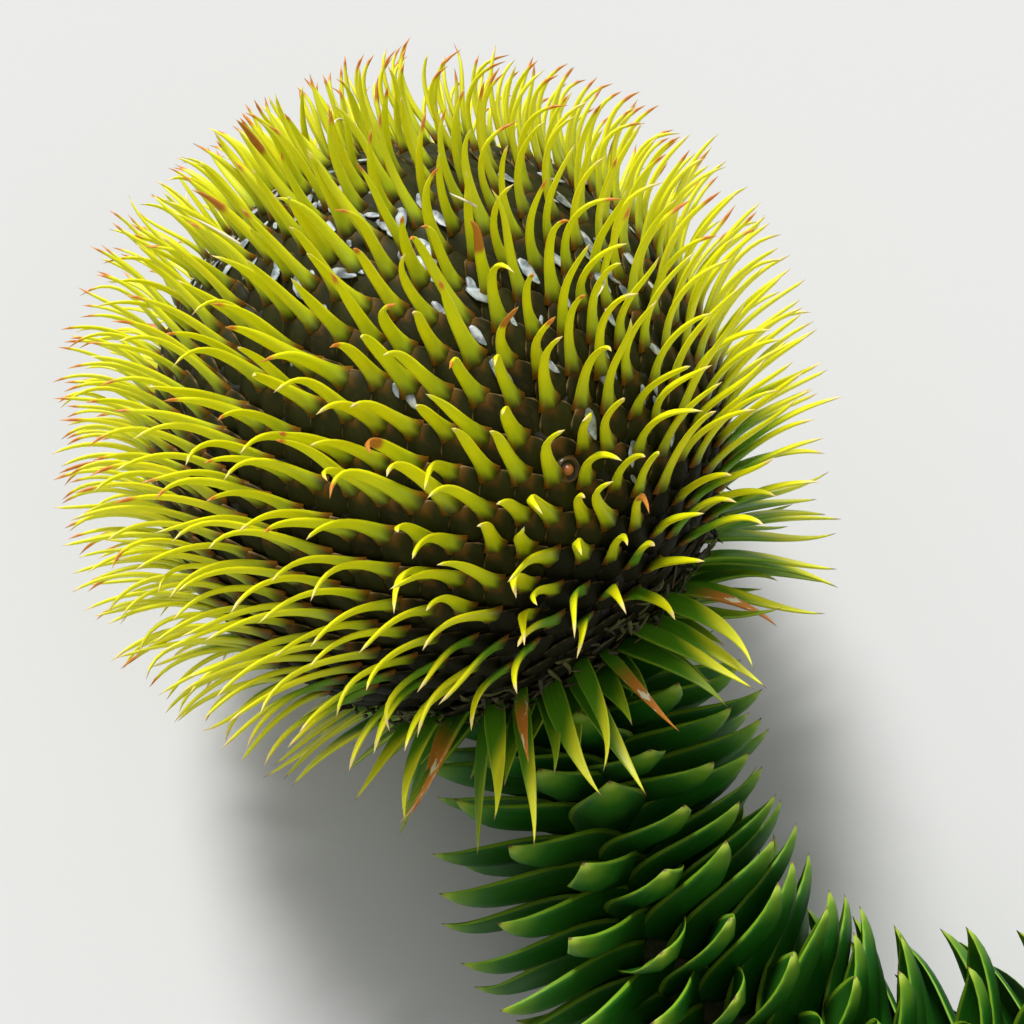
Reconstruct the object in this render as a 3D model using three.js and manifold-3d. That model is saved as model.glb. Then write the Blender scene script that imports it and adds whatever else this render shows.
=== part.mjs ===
// A cut branch of a monkey puzzle tree with one ripe-green seed cone at its tip, lying on the ground.
// Millimetres, +Z up. The cone rests on its lower spines and the leafy shoot on its lower leaves.
import * as THREE from 'three';
import { ConvexGeometry } from 'three/addons/geometries/ConvexGeometry.js';
import { mergeVertices } from 'three/addons/utils/BufferGeometryUtils.js';
import Module from 'manifold-3d';

const wasm = await Module();
wasm.setup();

// Sizes of the seed cone
const CORE_RADIUS = 70; // to the outside of the closed scales
const SCALE_RELIEF = 1.6; // how far the seams between the scales lie below that
const CORE_SCALES = 200;
const SPINE_REACH = 94; // from the centre to the spines' tips
const SPINE_UNEVEN = 2.2; // some spines stand this much shorter or taller
const SPINE_GAPS = 9; // how deep the gaps between the tips are
const SPINE_CLUSTERS = 340;
const COAT_PARTS = 6; // the coat and the collar are cut like an orange

// Sizes of the collar of broad leaves round the cone's foot, as angles from the foot's axis
const COAT_EDGE = 45;
const COLLAR_INNER = 30;
const COLLAR_OUTER = 43.5;
const COLLAR_TIP = 37;
const COLLAR_REACH = 107;
const COLLAR_NOTCH = 24;
const COLLAR_UNEVEN = 4;
const COLLAR_LEAVES = 18;

// Sizes of the shoot
const STEM_RADIUS_AT_CONE = 8;
const STEM_RADIUS_AT_CUT = 11.5;
const STEM_SIDES = 12;
const STEM_STEP = 8; // between the rings of corners along the stem
const STEM_STRETCHES = { stem_neck: [0, 0.22], stem_bend: [0.22, 0.72], stem_foot: [0.72, 1] };
const LEAF_REACH = 49.5; // from the shoot's middle to the leaves' tips
const LEAF_NOTCH = 13;
const LEAF_UNEVEN = 1.5;
const LEAF_SWEEP = 9; // how far the tips stand towards the cone
const LEAF_ROWS = 22; // corners round the shoot, every other one a leaf's tip
const LEAF_STEP = 11; // between the rings of tips
const LEAF_MASSES = 4;
const BARE_END = 9; // bare stem behind the last leaves
const MASS_START = 5; // bare stem under the cone
const NARROW_FROM = -14; // along the stem, the leaves reach further out between these two places
const NARROW_TO = 34;

// How the branch lies
const CONE_HEIGHT = 92; // the centre of the cone above the ground
const SHOOT_HEIGHT = 46.5; // the middle of the shoot above the ground
const CONE_FOOT = new THREE.Vector3(0.486, -0.657, -0.575).normalize(); // from the centre to the stalk
const BEND_CENTRE = new THREE.Vector2(127, -75.5); // of the shoot's bend, from the spot below the cone
const BEND_RADIUS = 86;
const BEND_START = 184; // degrees, where the bend begins
const BEND_END = 270;
const BEND_STEP = 14; // degrees between the points of the bend
const NECK_LENGTH = 9; // straight stalk between the cone and the bend
const STRAIGHT_END = 58; // from the bend to the cut

const GAP = 0.3; // between pieces that touch
const GOLDEN_ANGLE = Math.PI * (3 - Math.sqrt(5));
const BAND_DEPTH = 1; // how far the collar's foot reaches into the core before it is cut away
const CONE_CENTRE = new THREE.Vector3(0, 0, CONE_HEIGHT);
const radians = THREE.MathUtils.degToRad;

// Repeatable unevenness between -1 and 1
function uneven(number) {
  const wave = Math.sin(number * 12.9898 + 4.1414) * 43758.5453;
  return 2 * (wave - Math.floor(wave)) - 1;
}

function solidOf(geometry) {
  const bare = geometry.index ? geometry.toNonIndexed() : geometry.clone();
  bare.deleteAttribute('normal');
  bare.deleteAttribute('uv');
  const merged = mergeVertices(bare, 1e-4);
  return new wasm.Manifold(new wasm.Mesh({
    numProp: 3,
    vertProperties: new Float32Array(merged.attributes.position.array),
    triVerts: new Uint32Array(merged.index.array),
  }));
}

function geometryOf(solid) {
  const { vertProperties, triVerts } = solid.getMesh();
  const geometry = new THREE.BufferGeometry();
  geometry.setAttribute('position', new THREE.BufferAttribute(vertProperties, 3));
  geometry.setIndex(new THREE.BufferAttribute(triVerts, 1));
  return geometry;
}

// Moves every point of a geometry by a rule
function reshape(geometry, rule) {
  const place = geometry.attributes.position;
  const point = new THREE.Vector3();
  for (let i = 0; i < place.count; i += 1) {
    point.fromBufferAttribute(place, i);
    rule(point);
    place.setXYZ(i, point.x, point.y, point.z);
  }
  return geometry;
}

// From the cone's own frame, with its foot along +Z, to where it lies
function coneToWorld() {
  const turn = new THREE.Quaternion().setFromUnitVectors(new THREE.Vector3(0, 0, 1), CONE_FOOT);
  return new THREE.Matrix4().compose(CONE_CENTRE, turn, new THREE.Vector3(1, 1, 1));
}

// A ball whose bumps follow the spiral in which a cone's scales grow, with a hollow between each three bumps
function spiralBall(count, bumpRadius, hollowRadius) {
  const bumps = Array.from({ length: count }, (_, i) => {
    const height = 1 - (2 * i + 1) / count;
    const side = Math.sqrt(1 - height * height);
    return new THREE.Vector3(side * Math.cos(i * GOLDEN_ANGLE), side * Math.sin(i * GOLDEN_ANGLE), height);
  });
  const faces = new ConvexGeometry(bumps).attributes.position;
  const corners = [new THREE.Vector3(), new THREE.Vector3(), new THREE.Vector3()];
  const points = [];
  for (let i = 0; i < faces.count; i += 3) {
    corners.forEach((corner, k) => corner.fromBufferAttribute(faces, i + k));
    const middle = corners[0].clone().add(corners[1]).add(corners[2]).normalize();
    middle.multiplyScalar(hollowRadius(middle));
    corners.forEach((corner) => corner.multiplyScalar(bumpRadius(corner) / corner.length()));
    for (let k = 0; k < 3; k += 1) {
      points.push(corners[k].clone(), corners[(k + 1) % 3].clone(), middle.clone());
    }
  }
  return new THREE.BufferGeometry().setFromPoints(points);
}

// A wedge of all space round the cone's axis, for one part of the coat or the collar
function coatWedge(index) {
  const half = Math.PI / COAT_PARTS;
  const reach = 3 * SPINE_REACH;
  const turn = 2 * half * index;
  const outline = new THREE.Shape([
    new THREE.Vector2(GAP / 2 / Math.sin(half), 0),
    new THREE.Vector2(reach, -reach * Math.tan(half) + GAP / 2 / Math.cos(half)),
    new THREE.Vector2(reach, reach * Math.tan(half) - GAP / 2 / Math.cos(half)),
  ]);
  const wedge = new THREE.ExtrudeGeometry(outline, { depth: 2 * reach, bevelEnabled: false });
  wedge.translate(0, 0, -reach);
  wedge.rotateZ(turn);
  return solidOf(wedge);
}

// Everything that lies within an angle of the foot's axis
function footCone(degrees, length) {
  const cone = new THREE.ConeGeometry(length * Math.tan(radians(degrees)), length, 48);
  cone.rotateX(-Math.PI / 2); // its tip to -Z
  cone.translate(0, 0, length / 2);
  return solidOf(cone);
}

function coneCore() {
  return solidOf(spiralBall(CORE_SCALES, () => CORE_RADIUS, () => CORE_RADIUS - SCALE_RELIEF));
}

// The room that the core takes up inside the pieces round it
function coreRoom() {
  return solidOf(new THREE.IcosahedronGeometry(CORE_RADIUS + 4 * GAP, 4));
}

function spineCoat() {
  const tip = (at) => SPINE_REACH + SPINE_UNEVEN * (uneven(at.x + 2 * at.y + 3 * at.z) - 1) / 2;
  const hollow = (at) => SPINE_REACH - SPINE_GAPS + SPINE_UNEVEN * uneven(at.x - at.y + at.z);
  const outside = solidOf(spiralBall(SPINE_CLUSTERS, tip, hollow));
  return outside.subtract(coreRoom()).subtract(footCone(COAT_EDGE, 2 * SPINE_REACH));
}

// The leaves of the collar spread from a narrow band on the core to a ring of points
function leafCollar() {
  const at = (radius, degrees) => new THREE.Vector2(
    radius * Math.sin(radians(degrees)),
    radius * Math.cos(radians(degrees)),
  );
  const bandRadius = CORE_RADIUS - BAND_DEPTH;
  const outline = [
    at(bandRadius, COLLAR_OUTER),
    at(COLLAR_REACH, COLLAR_TIP),
    at(bandRadius, COLLAR_INNER),
    at(bandRadius, COLLAR_OUTER),
  ];
  const steps = 2 * COLLAR_LEAVES;
  const ring = new THREE.LatheGeometry(outline, steps);
  ring.rotateX(Math.PI / 2);
  const wantedLength = (point) => {
    const step = Math.round((Math.atan2(point.y, point.x) / Math.PI + 2) * COLLAR_LEAVES) % steps;
    return COLLAR_REACH - (step % 2 ? COLLAR_NOTCH : COLLAR_UNEVEN * Math.abs(uneven(step)));
  };
  reshape(ring, (point) => {
    if (point.length() > COLLAR_REACH - 1) {
      point.setLength(wantedLength(point));
    }
  });
  return solidOf(ring).subtract(coreRoom());
}

// The middle of the shoot, from the cone's foot round the bend to the cut
function shootCurve() {
  const foot = CONE_CENTRE.clone().addScaledVector(CONE_FOOT, CORE_RADIUS + GAP);
  const neck = foot.clone().addScaledVector(CONE_FOOT, NECK_LENGTH);
  const points = [foot, neck];
  for (let angle = BEND_START; angle <= BEND_END; angle += BEND_STEP) {
    points.push(new THREE.Vector3(
      BEND_CENTRE.x + BEND_RADIUS * Math.cos(radians(angle)),
      BEND_CENTRE.y + BEND_RADIUS * Math.sin(radians(angle)),
      SHOOT_HEIGHT,
    ));
  }
  const bottom = BEND_CENTRE.y - BEND_RADIUS;
  points.push(new THREE.Vector3(BEND_CENTRE.x + STRAIGHT_END / 2, bottom, SHOOT_HEIGHT));
  points.push(new THREE.Vector3(BEND_CENTRE.x + STRAIGHT_END, bottom, SHOOT_HEIGHT));
  return new THREE.CatmullRomCurve3(points);
}

// A frame that doesn't twist: one side vector stays level
function frameAt(curve, share) {
  const along = curve.getTangentAt(share);
  const side = along.clone().cross(new THREE.Vector3(0, 0, 1)).normalize();
  const up = side.clone().cross(along);
  return { place: curve.getPointAt(share), along, side, up };
}

// Bends a geometry that stands on +Y, from y = 0 to y = 1, along a stretch of the curve.
// Its x and z lie to the side and up. A shape moves them first, and says how far on the point then goes.
function bendAlong(geometry, curve, from, to, shape = () => 0) {
  const length = curve.getLength();
  return reshape(geometry, (point) => {
    const middle = from + (to - from) * point.y;
    const share = THREE.MathUtils.clamp((middle + shape(point, middle)) / length, 0, 1);
    const { place, side, up } = frameAt(curve, share);
    const { x, z } = point;
    point.copy(place).addScaledVector(side, x).addScaledVector(up, z);
  });
}

function stemRadius(share) {
  return THREE.MathUtils.lerp(STEM_RADIUS_AT_CONE, STEM_RADIUS_AT_CUT, share);
}

// A tapering length of stem, with its thick end away from the cone
function stemPiece(curve, from, to, extra = 0) {
  const length = curve.getLength();
  const steps = Math.round((to - from) / STEM_STEP);
  const thin = stemRadius(from / length) + extra;
  const thick = stemRadius(to / length) + extra;
  const stem = new THREE.CylinderGeometry(thick, thin, 1, STEM_SIDES, steps);
  stem.translate(0, 0.5, 0);
  return solidOf(bendAlong(stem, curve, from, to));
}

// One mass of leaves round the stem, whose corners are by turns a leaf's tip and a notch
function leafMass(curve, from, to) {
  const rings = Math.round((to - from) / LEAF_STEP);
  const mass = new THREE.CylinderGeometry(1, 1, 1, LEAF_ROWS, rings);
  mass.translate(0, 0.5, 0);
  const shape = (point, middle) => {
    const radius = Math.hypot(point.x, point.z);
    const ring = Math.round(point.y * rings);
    const row = Math.round((Math.atan2(point.z, point.x) / Math.PI + 2) * LEAF_ROWS / 2) % LEAF_ROWS;
    if (radius < 0.5) {
      return 0; // the middle of an end
    }
    const tip = ring > 0 && ring < rings && (ring + row) % 2 === 0;
    const reach = LEAF_REACH - (tip ? 0 : LEAF_NOTCH) + LEAF_UNEVEN * uneven(middle + row);
    const wanted = reach * THREE.MathUtils.smoothstep(middle, NARROW_FROM, NARROW_TO);
    point.multiply(new THREE.Vector3(wanted / radius, 1, wanted / radius));
    return tip ? -LEAF_SWEEP : 0;
  };
  return solidOf(bendAlong(mass, curve, from, to, shape));
}

// What lies above the ground
function aboveGround(solid) {
  const size = 10 * CONE_HEIGHT;
  const air = new THREE.BoxGeometry(size, size, size);
  air.translate(0, 0, size / 2);
  return solid.intersect(solidOf(air));
}

function material(colour, roughness) {
  return new THREE.MeshStandardMaterial({ color: colour, roughness, metalness: 0 });
}

const scaleBrown = material(0x3a3212, 0.6);
const spineGreen = material(0xb9cc1e, 0.45);
const collarGreen = material(0x6fa81c, 0.45);
const leafGreen = material(0x1d5a12, 0.45);
const stemBrown = material(0x5b4a2c, 0.8);

const branch = new THREE.Group();

function addPiece(name, solid, skin) {
  const mesh = new THREE.Mesh(geometryOf(solid), skin);
  mesh.name = name;
  branch.add(mesh);
  return mesh;
}

function placeCone(solid) {
  return solid.transform(coneToWorld().elements);
}

function addCone() {
  addPiece('cone_core', placeCone(coneCore()), scaleBrown);
  const coat = spineCoat();
  const collar = leafCollar();
  for (let part = 0; part < COAT_PARTS; part += 1) {
    const wedge = coatWedge(part);
    const number = part + 1;
    addPiece(`cone_spines_${number}`, aboveGround(placeCone(coat.intersect(wedge))), spineGreen);
    addPiece(`collar_leaves_${number}`, aboveGround(placeCone(collar.intersect(wedge))), collarGreen);
  }
}

// The stem is split where its bend begins and ends
function addStem(curve) {
  const length = curve.getLength();
  Object.entries(STEM_STRETCHES).forEach(([name, [from, to]]) => {
    const end = to < 1 ? to * length - GAP : length;
    addPiece(name, stemPiece(curve, from * length, end), stemBrown);
  });
}

// The leaves near the cone stay between the collar and the stem
function addLeaves(curve) {
  const last = curve.getLength() - BARE_END;
  const step = (last - MASS_START) / LEAF_MASSES;
  const room = COLLAR_REACH + 10 * GAP;
  const ball = solidOf(new THREE.IcosahedronGeometry(room, 6));
  const footRoom = placeCone(ball.subtract(footCone(COLLAR_INNER - 1, 2 * room)));
  const taken = footRoom.add(placeCone(coreRoom())).add(stemPiece(curve, 0, curve.getLength(), 3 * GAP));
  for (let index = 0; index < LEAF_MASSES; index += 1) {
    const from = MASS_START + index * step;
    const mass = leafMass(curve, from, from + step - GAP);
    addPiece(`shoot_leaves_${index + 1}`, aboveGround(mass.subtract(taken)), leafGreen);
  }
}

const curve = shootCurve();
addCone();
addStem(curve);
addLeaves(curve);

// The origin is on the ground, under the middle of the whole branch
const box = new THREE.Box3().setFromObject(branch);
const middle = box.getCenter(new THREE.Vector3());
branch.position.set(-middle.x, -middle.y, -box.min.z);

export default branch;
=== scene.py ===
"""The looks of a cut monkey puzzle branch: a ball of a seed cone that bristles with curved spines, the
collar of broad leaves under it and the leafy shoot that bends away to a saw cut. Every spine and leaf grows
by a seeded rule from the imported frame, and a geometry node tree turns its seat into a curved blade.
Metres, +Z up."""
import math
import random
from dataclasses import dataclass

import bmesh
import bpy
from bpy.props import (
    FloatProperty,
    FloatVectorProperty,
    IntProperty,
    PointerProperty,
)
from mathutils import Matrix, Quaternion, Vector


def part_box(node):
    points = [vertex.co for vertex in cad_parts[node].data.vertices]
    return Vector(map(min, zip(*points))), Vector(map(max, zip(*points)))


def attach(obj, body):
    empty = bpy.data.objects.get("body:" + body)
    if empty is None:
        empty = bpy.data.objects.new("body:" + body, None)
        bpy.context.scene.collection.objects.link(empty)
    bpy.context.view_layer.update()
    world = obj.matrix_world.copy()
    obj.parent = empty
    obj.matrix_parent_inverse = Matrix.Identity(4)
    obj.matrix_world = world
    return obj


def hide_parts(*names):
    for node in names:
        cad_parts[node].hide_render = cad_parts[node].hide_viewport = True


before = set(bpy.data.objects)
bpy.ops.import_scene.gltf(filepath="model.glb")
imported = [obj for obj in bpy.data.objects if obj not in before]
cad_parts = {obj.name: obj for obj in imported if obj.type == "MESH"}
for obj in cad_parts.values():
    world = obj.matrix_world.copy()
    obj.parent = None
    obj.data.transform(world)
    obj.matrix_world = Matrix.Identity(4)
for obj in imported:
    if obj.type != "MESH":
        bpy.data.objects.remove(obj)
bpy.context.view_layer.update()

bl_info = {
    "name": "Monkey Puzzle Branch",
    "version": (1, 0, 0),
    "blender": (4, 5, 0),
    "location": "3D View > Sidebar > Branch",
    "description": "Grows a monkey puzzle branch with one seed cone round its packed frame",
    "category": "Add Mesh",
}

MM = 0.001
UV_NAME = "OFBake"
GOLDEN_ANGLE = math.pi * (3 - math.sqrt(5))
FULL_TURN = 2 * math.pi
MERGE_DISTANCE = 0.001 * MM
UP = Vector((0, 0, 1))

# The cone, from the frame
CORE_LOW, CORE_HIGH = (Vector(corner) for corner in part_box("cone_core"))
CONE_CENTRE = (CORE_LOW + CORE_HIGH) / 2
CORE_RADIUS = (CORE_HIGH.x - CORE_LOW.x) / 2
CONE_FOOT = Vector((0.486, -0.657, -0.575)).normalized()
CONE_TIP = -CONE_FOOT
TO_CONE = UP.rotation_difference(CONE_TIP)

# The shoot's middle line, as the frame has it: a short neck, a bend in a level plane and a straight end
CUT_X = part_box("stem_foot")[1][0]
NECK_LENGTH = 9 * MM
BEND_CENTRE = CONE_CENTRE + Vector((127 * MM, -75.5 * MM, 0))
BEND_RADIUS = 86 * MM
BEND_START = 184
BEND_END = 270
BEND_STEP = 14
SHOOT_HEIGHT = 46.5 * MM
STEM_RADIUS_AT_CONE = 8 * MM
STEM_RADIUS_AT_CUT = 11.5 * MM

# The photograph's frame and where it was taken from, measured from the cone's centre
CAMERA_TIP = math.radians(21.1)
CAMERA_PLACE = Vector((17.75, -20.25, 400)) * MM
TO_CAMERA = Matrix.Rotation(CAMERA_TIP, 3, "X") @ UP
FOCAL_PIXELS = 1600
FRAME_PIXELS = 1024
SENSOR = 36
ROOM_COLOUR = (0.97, 0.985, 1)
ROOM_STRENGTH = 0.42

# How a spine stands at each angle from the cone's tip: its lean towards the tip at its foot, half way and at
# its point, and how far from the cone's centre it reaches
SPINE_POSTURES = (
    (0, 0, 0, 0, 90),
    (20, 22, 9, 0, 92),
    (40, 42, 17, -3, 93),
    (57, 56, 22, -9, 93),
    (70, 66, 27, -8, 93),
    (80, 70, 30, 0, 93),
    (90, 71, 36, 5, 94),
    (100, 69, 39, 13, 94),
    (119, 63, 39, 16, 94),
    (130, 54, 35, 14, 95),
)
SPINE_WOBBLE = (4, 6, 9)  # degrees by which those three leans are uneven
LOOSE_PART = (20, 60)  # between these angles from the cone's tip the leans grow more even
LOOSE_SHARE = 0.8  # how much more uneven they are near the tip
REACH_WOBBLE = 1.1  # mm
LEAST_OUTWARD = 0.5  # the smallest share of a spine's length that is taken to point outwards
SPINE_TURN = 6  # degrees by which the points lean more on the right of the cone and less on its left
SPINE_BACK_TURN = 38  # degrees by which the points lean away from the tip behind it, half way down the cone
BACK_LINE = math.radians(118)  # how far the middle of that stretch is to the right of the cone's front
SPINE_FRONT_TURN = 15  # degrees by which the lowest spines lean more at the front, where they are short hooks
HOOK_LINE = math.radians(10)  # how far the middle of those hooks is to the right of the cone's front
HOOK_PART = (96, 118)  # between these angles from the cone's tip the hooks set in
HOOK_SHORTER = 5  # mm
SPINE_FAN = 19  # degrees that the spines spread sideways, away from a line down the cone
FAN_LINE = math.radians(50)  # how far that line is to the right of the cone's front
FAN_WOBBLE = 8  # degrees
SPINE_SUNK = 0.6 * MM
SPINE_SHIFT = 2.6  # mm from the middle of a scale towards the cone's tip
SIDE_CURL = 1.7  # mm by which the points curl to the side that they fan to
SIDE_CURL_WOBBLE = 2
TIP_CURL = (-0.6, 1.8)  # mm by which the points curl towards the cone's tip, and how uneven that is
CURL_POWER = 5  # the higher, the nearer its point a blade's curl begins
EDGE_RISE = 7  # degrees by which the spines end nearer the tip on the left of the cone
LOW_PART = (114, 128)  # between these angles the spines grow wider and greener
LOW_WIDER = 0.3  # as a share of a spine's width
LOW_DEEP_SHARE = 0.85  # of the lowest spines are dealt the deep tints
SLIM_PART = (40, 75)  # between these angles the slimmer spines near the tip grow to their full width
SLIM_SHARE = 0.14  # how much slimmer the spines are near the tip, and also on the left
SPINE_SIZES = (0.88, 1.1)  # least and most, as shares of a spine's width
# The share of the spines near the tip with a browner point, and how much less it is lower down and in front
WARM_SHARE = 0.75
WARM_PART = (60, 110)
WARM_LESS = 0.6
WARM_FRONT_LESS = 0.3
# A blade's half width from its foot to its point, as shares
SPINE_OUTLINE = (
    (0, 0), (0.02, 0.7), (0.06, 1.0), (0.12, 0.8), (0.2, 0.6), (0.34, 0.48), (0.54, 0.41), (0.7, 0.32),
    (0.82, 0.22), (0.92, 0.14), (0.98, 0.08), (1, 0),
)
LEAF_OUTLINE = (
    (0, 0), (0.03, 0.95), (0.15, 1.0), (0.4, 0.97), (0.66, 0.78), (0.86, 0.42), (0.95, 0.17), (1, 0),
)
COLLAR_OUTLINE = ((0, 0), (0.03, 0.7), (0.22, 1.0), (0.5, 0.8), (0.78, 0.36), (0.92, 0.12), (1, 0))
THREAD_OUTLINE = ((0, 0), (0.05, 0.8), (0.3, 1.0), (0.8, 0.6), (1, 0))
BLADE_COLUMNS = 16  # tints that each kind of blade comes in, side by side on its UV map
COLUMN_MARGIN = 0.06
PLAIN_TINTS = range(0, 12)
WARM_TINTS = range(0, 6)  # plain spines with a longer, browner point
PALE_TINTS = range(6, 12)  # plain spines with a shorter, paler point
DEEP_TINTS = range(12, 14)  # darker: the lowest scales, partly their own tone and partly painted shade, the greenest spines, and the leaves under the collar, whose points get less painted sunlight
DEAD_TINTS = range(14, 16)  # browned spines and leaves
DEAD_LEAF_SHARE = 0.17
DEAD_SPINE_SHARE = 0.015

# The collar: where its leaves stand, as degrees from the cone's foot
COLLAR_OUTER = 39.5
COLLAR_INNER = 32
COLLAR_FOOT = 13
FOOT_LEAVES = 52  # more leaves that cover the cone's foot between the collar and the stem
COLLAR_LEANS = (46, 22, 10)  # degrees towards the cone's tip at a leaf's foot, half way and at its point
COLLAR_WOBBLE = 5  # degrees, in each of those three
COLLAR_FRONT_TURN = 6  # degrees by which they lean more at the front of the cone, and less behind it
COLLAR_RIGHT_TURN = 10  # degrees by which the outer leaves lean more on the right
COLLAR_LEFT_TURN = 34  # degrees by which they lean more on the left
COLLAR_LEFT_SWING = 20  # degrees by which they swing round there
COLLAR_SWING_WOBBLE = 8  # degrees
COLLAR_LEFT_LONGER = 0.1  # as a share of a leaf's length
FOOT_TURN = 26  # degrees by which the foot's leaves lie flatter
FOOT_TURN_PART = 0.25  # of the way from the collar to the stem, over which they get flatter
FOOT_TURN_MORE = 1.3  # as a share of that, half way along them and at their points
# As shares of a leaf's length: the outermost leaves, what the inner ones have more and the foot's leaves less
COLLAR_LENGTHS = (0.84, 0.2, 0.35)
COLLAR_LENGTH_SIZES = (0.92, 1.06)
COLLAR_WIDTH_SIZES = (0.85, 1.12)
COLLAR_SUNK = 1.5 * MM
COLLAR_SIDE_CURL = (0, 2.5)  # mm, and how uneven it is
COLLAR_TIP_CURL = (1, 2)
DEAD_LEAF_WIDTH = 0.72  # as a share of a green leaf's
DEAD_LEAF_LENGTH = 0.8

# The leaves along the shoot, from the cone's foot
FIRST_LEAF = 5 * MM
LEAF_NARROWS = (-14 * MM, 34 * MM)  # between these the leaves grow from small to full size
LEAF_LEANS = (40, 12, 44)  # degrees towards the cone at a leaf's foot, half way and at its point
LEAF_FRONT_TURN = 16  # degrees by which leaves that face the camera lean less, and those under the stem more
LEAF_WOBBLE = 3  # degrees
LEAF_SWING_WOBBLE = 5
LEAF_ROOT_DEPTH = 0.8  # of the way out from the middle of the stem to its skin
LEAST_LEAF_LENGTH = 0.35  # of the first leaves, as a share
LEAST_LEAF_WIDTH = 0.6
LEAF_LENGTH_SIZES = (0.95, 1.04)
LEAF_WIDTH_SIZES = (0.92, 1.05)
LEAF_CURL = (1.5, 1)  # mm, and how uneven it is
STEM_STEPS = 24  # between two knots of the middle line

# The bark and the sawn end
BARK_SIDES = 44
BARK_RINGS = 260
BARK_THICKNESS = 1.3 * MM
CUT_PROUD = 0.15 * MM
CUT_DEPTH = 0.6 * MM
CUT_SIDES = 48
BARK_ROUGHNESS = 0.4  # as a share of a cushion's height
WOOD_RINGS = 7
# Circles of corners round the middle and the edge of the sawn face: a share of its radius, and the lift in mm
PITH_CIRCLES = ((0.04, -0.125), (0.1, -0.05))
RIM_CIRCLES = ((0.98, 0), (1.0, -0.15))
PITH_DEPTH = 0.25  # mm
SAW_MARK_PART = (0.2, 0.99)  # the marks lie between these shares of the radius
SAW_MARK_WIDTH = 0.35 * MM
SAW_MARK_DEPTH = 0.03  # mm
SAW_ROUGHNESS = 0.01  # mm
SAW_SEED = 3
SPIRALS = ((5, 2), (8, 3))  # rows of cushions: every fifth leaf, two turns on, and every eighth, three on

FOOT_RING = math.radians(12)  # no scales this close to the stalk
LOWEST_SCALES = math.radians(22)  # the scales this close to the edge of the spines are darker, partly in their own tone and partly by painted shade
SCALE_WOBBLE = 5  # degrees
SCALE_SIZES = (0.94, 1.06)
# A scale's shape, as shares of its half width and its height: how long it is, how far its corner sticks out
# towards the tip, how much it rises on the way there, falls to its sides and narrows, how thick it is and how
# deep it sits
FAN_LENGTH = 0.95
FAN_CORNER = 0.3
FAN_RISE = 0.55
FAN_FALL = 0.35
FAN_TAPER = 0.12
FAN_THICKNESS = 0.45
FAN_SUNK = 0.75
# Where resin has run out, as directions from the cone's centre, with the spread and the number of drops
RESIN_SPOTS = (
    ((-0.30, 0.34, 1.0), 0.20, 74),
    ((-0.55, 0.55, 0.75), 0.18, 36),
    ((0.50, 0.20, 0.85), 0.18, 20),
    ((0.62, -0.25, 0.80), 0.12, 12),
    ((0.10, -0.05, 1.0), 0.25, 14),
    ((0.30, 0.80, 0.40), 0.25, 12),
)
SCAR_PLACE = (0.418, -0.472, 0.776)
SCAR_CLEARING = math.radians(3.6)
SCAR_RISE = 0.6 * MM
SCAR_SLOPE = 5  # how steep its knob and its ring are
SCAR_RING = 0.75  # where its ring is, as a share of its radius
SCAR_RING_HEIGHT = 0.7  # as a share of its knob's
SCAR_THICKNESS = 0.4
SCAR_SUNK = 0.2
RESIN_SWING = 0.4  # how unevenly the runs point, with 1 for 45 degrees off the way to the cone's tip
RESIN_HEIGHTS = (0.9, 1.5)  # mm above the core
RESIN_SIZES = (0.35, 1.4)
# The shape of a run of resin: how much its tail narrows and is shorter, its lumps and its bend, both with how
# often they turn along it
DROP_TAPER = 0.5
DROP_SHORTER = 0.4
DROP_LUMPS = 0.12
DROP_LUMP_TURNS = 7
DROP_BEND = 0.35
DROP_BEND_TURNS = 1.7
THREAD_PLACES = ((0.13, 0.16, 0.98), (-0.28, 0.58, 0.76), (0.45, 0.05, 0.89), (-0.45, 0.10, 0.89))
THREAD_RISE = 9 * MM  # a thread lies this far above the core, and twice a bit's height more
BIT_COUNT = 320
BIT_PART = (37, 51)  # between these degrees from the cone's foot
BIT_LEANS = ((40, 80), (60, 100), (60, 130))  # the least and most degrees at a bit's foot, middle and point
BIT_HEIGHTS = (0.5, 3)  # mm above the core
BIT_SIZES = (0.6, 1.3)
BIT_THICKNESS = 0.6  # as a share of its width
BIT_SIDE_CURL = (0, 2)  # mm, and how uneven it is
BIT_OUTWARD_CURL = (0, 1)

# Colours besides those in the settings
SPINE_YELLOW = (0.74, 0.78, 0.003)
SPINE_RIDGE = (0.95, 0.84, 0.01)
SPINE_GREENS = ((0.40, 0.47, 0.004), (0.32, 0.43, 0.005))
SPINE_DEEP_GREEN = (0.13, 0.30, 0.006)
SPINE_FOOT_EDGE = (0.045, 0.040, 0.005)
SPINE_PALE_POINT = (0.80, 0.60, 0.22)
SPINE_DEAD = (0.52, 0.18, 0.03)
SCALE_OLIVE = (0.024, 0.027, 0.004)
SCALE_GRAIN = (0.048, 0.036, 0.007)
# The lowest scales' dark colour: partly their own tone, partly painted shade
SCALE_DARK_AND_SHADE = (0.006, 0.006, 0.002)
HEART_BROWN = (0.010, 0.009, 0.004)
RESIN_GREYS = ((0.15, 0.18, 0.21), (0.48, 0.52, 0.54))
SCAR_KNOB = (0.42, 0.13, 0.03)
SCAR_GROOVE = (0.02, 0.012, 0.004)
SCAR_RIM = (0.09, 0.05, 0.015)
THREAD_TINTS = ((0.80, 0.74, 0.55), (0.72, 0.62, 0.40))
BIT_TINTS = ((0.08, 0.085, 0.012), (0.022, 0.018, 0.006))
BIT_POINT = (0.20, 0.11, 0.03)
COLLAR_GREEN = (0.12, 0.34, 0.01)
COLLAR_EDGE = (0.30, 0.46, 0.03)
COLLAR_STREAK = (0.03, 0.12, 0.005)
COLLAR_TIP = (0.30, 0.16, 0.06)
DRY_TINTS = ((0.70, 0.24, 0.03), (0.92, 0.84, 0.62))
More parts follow.
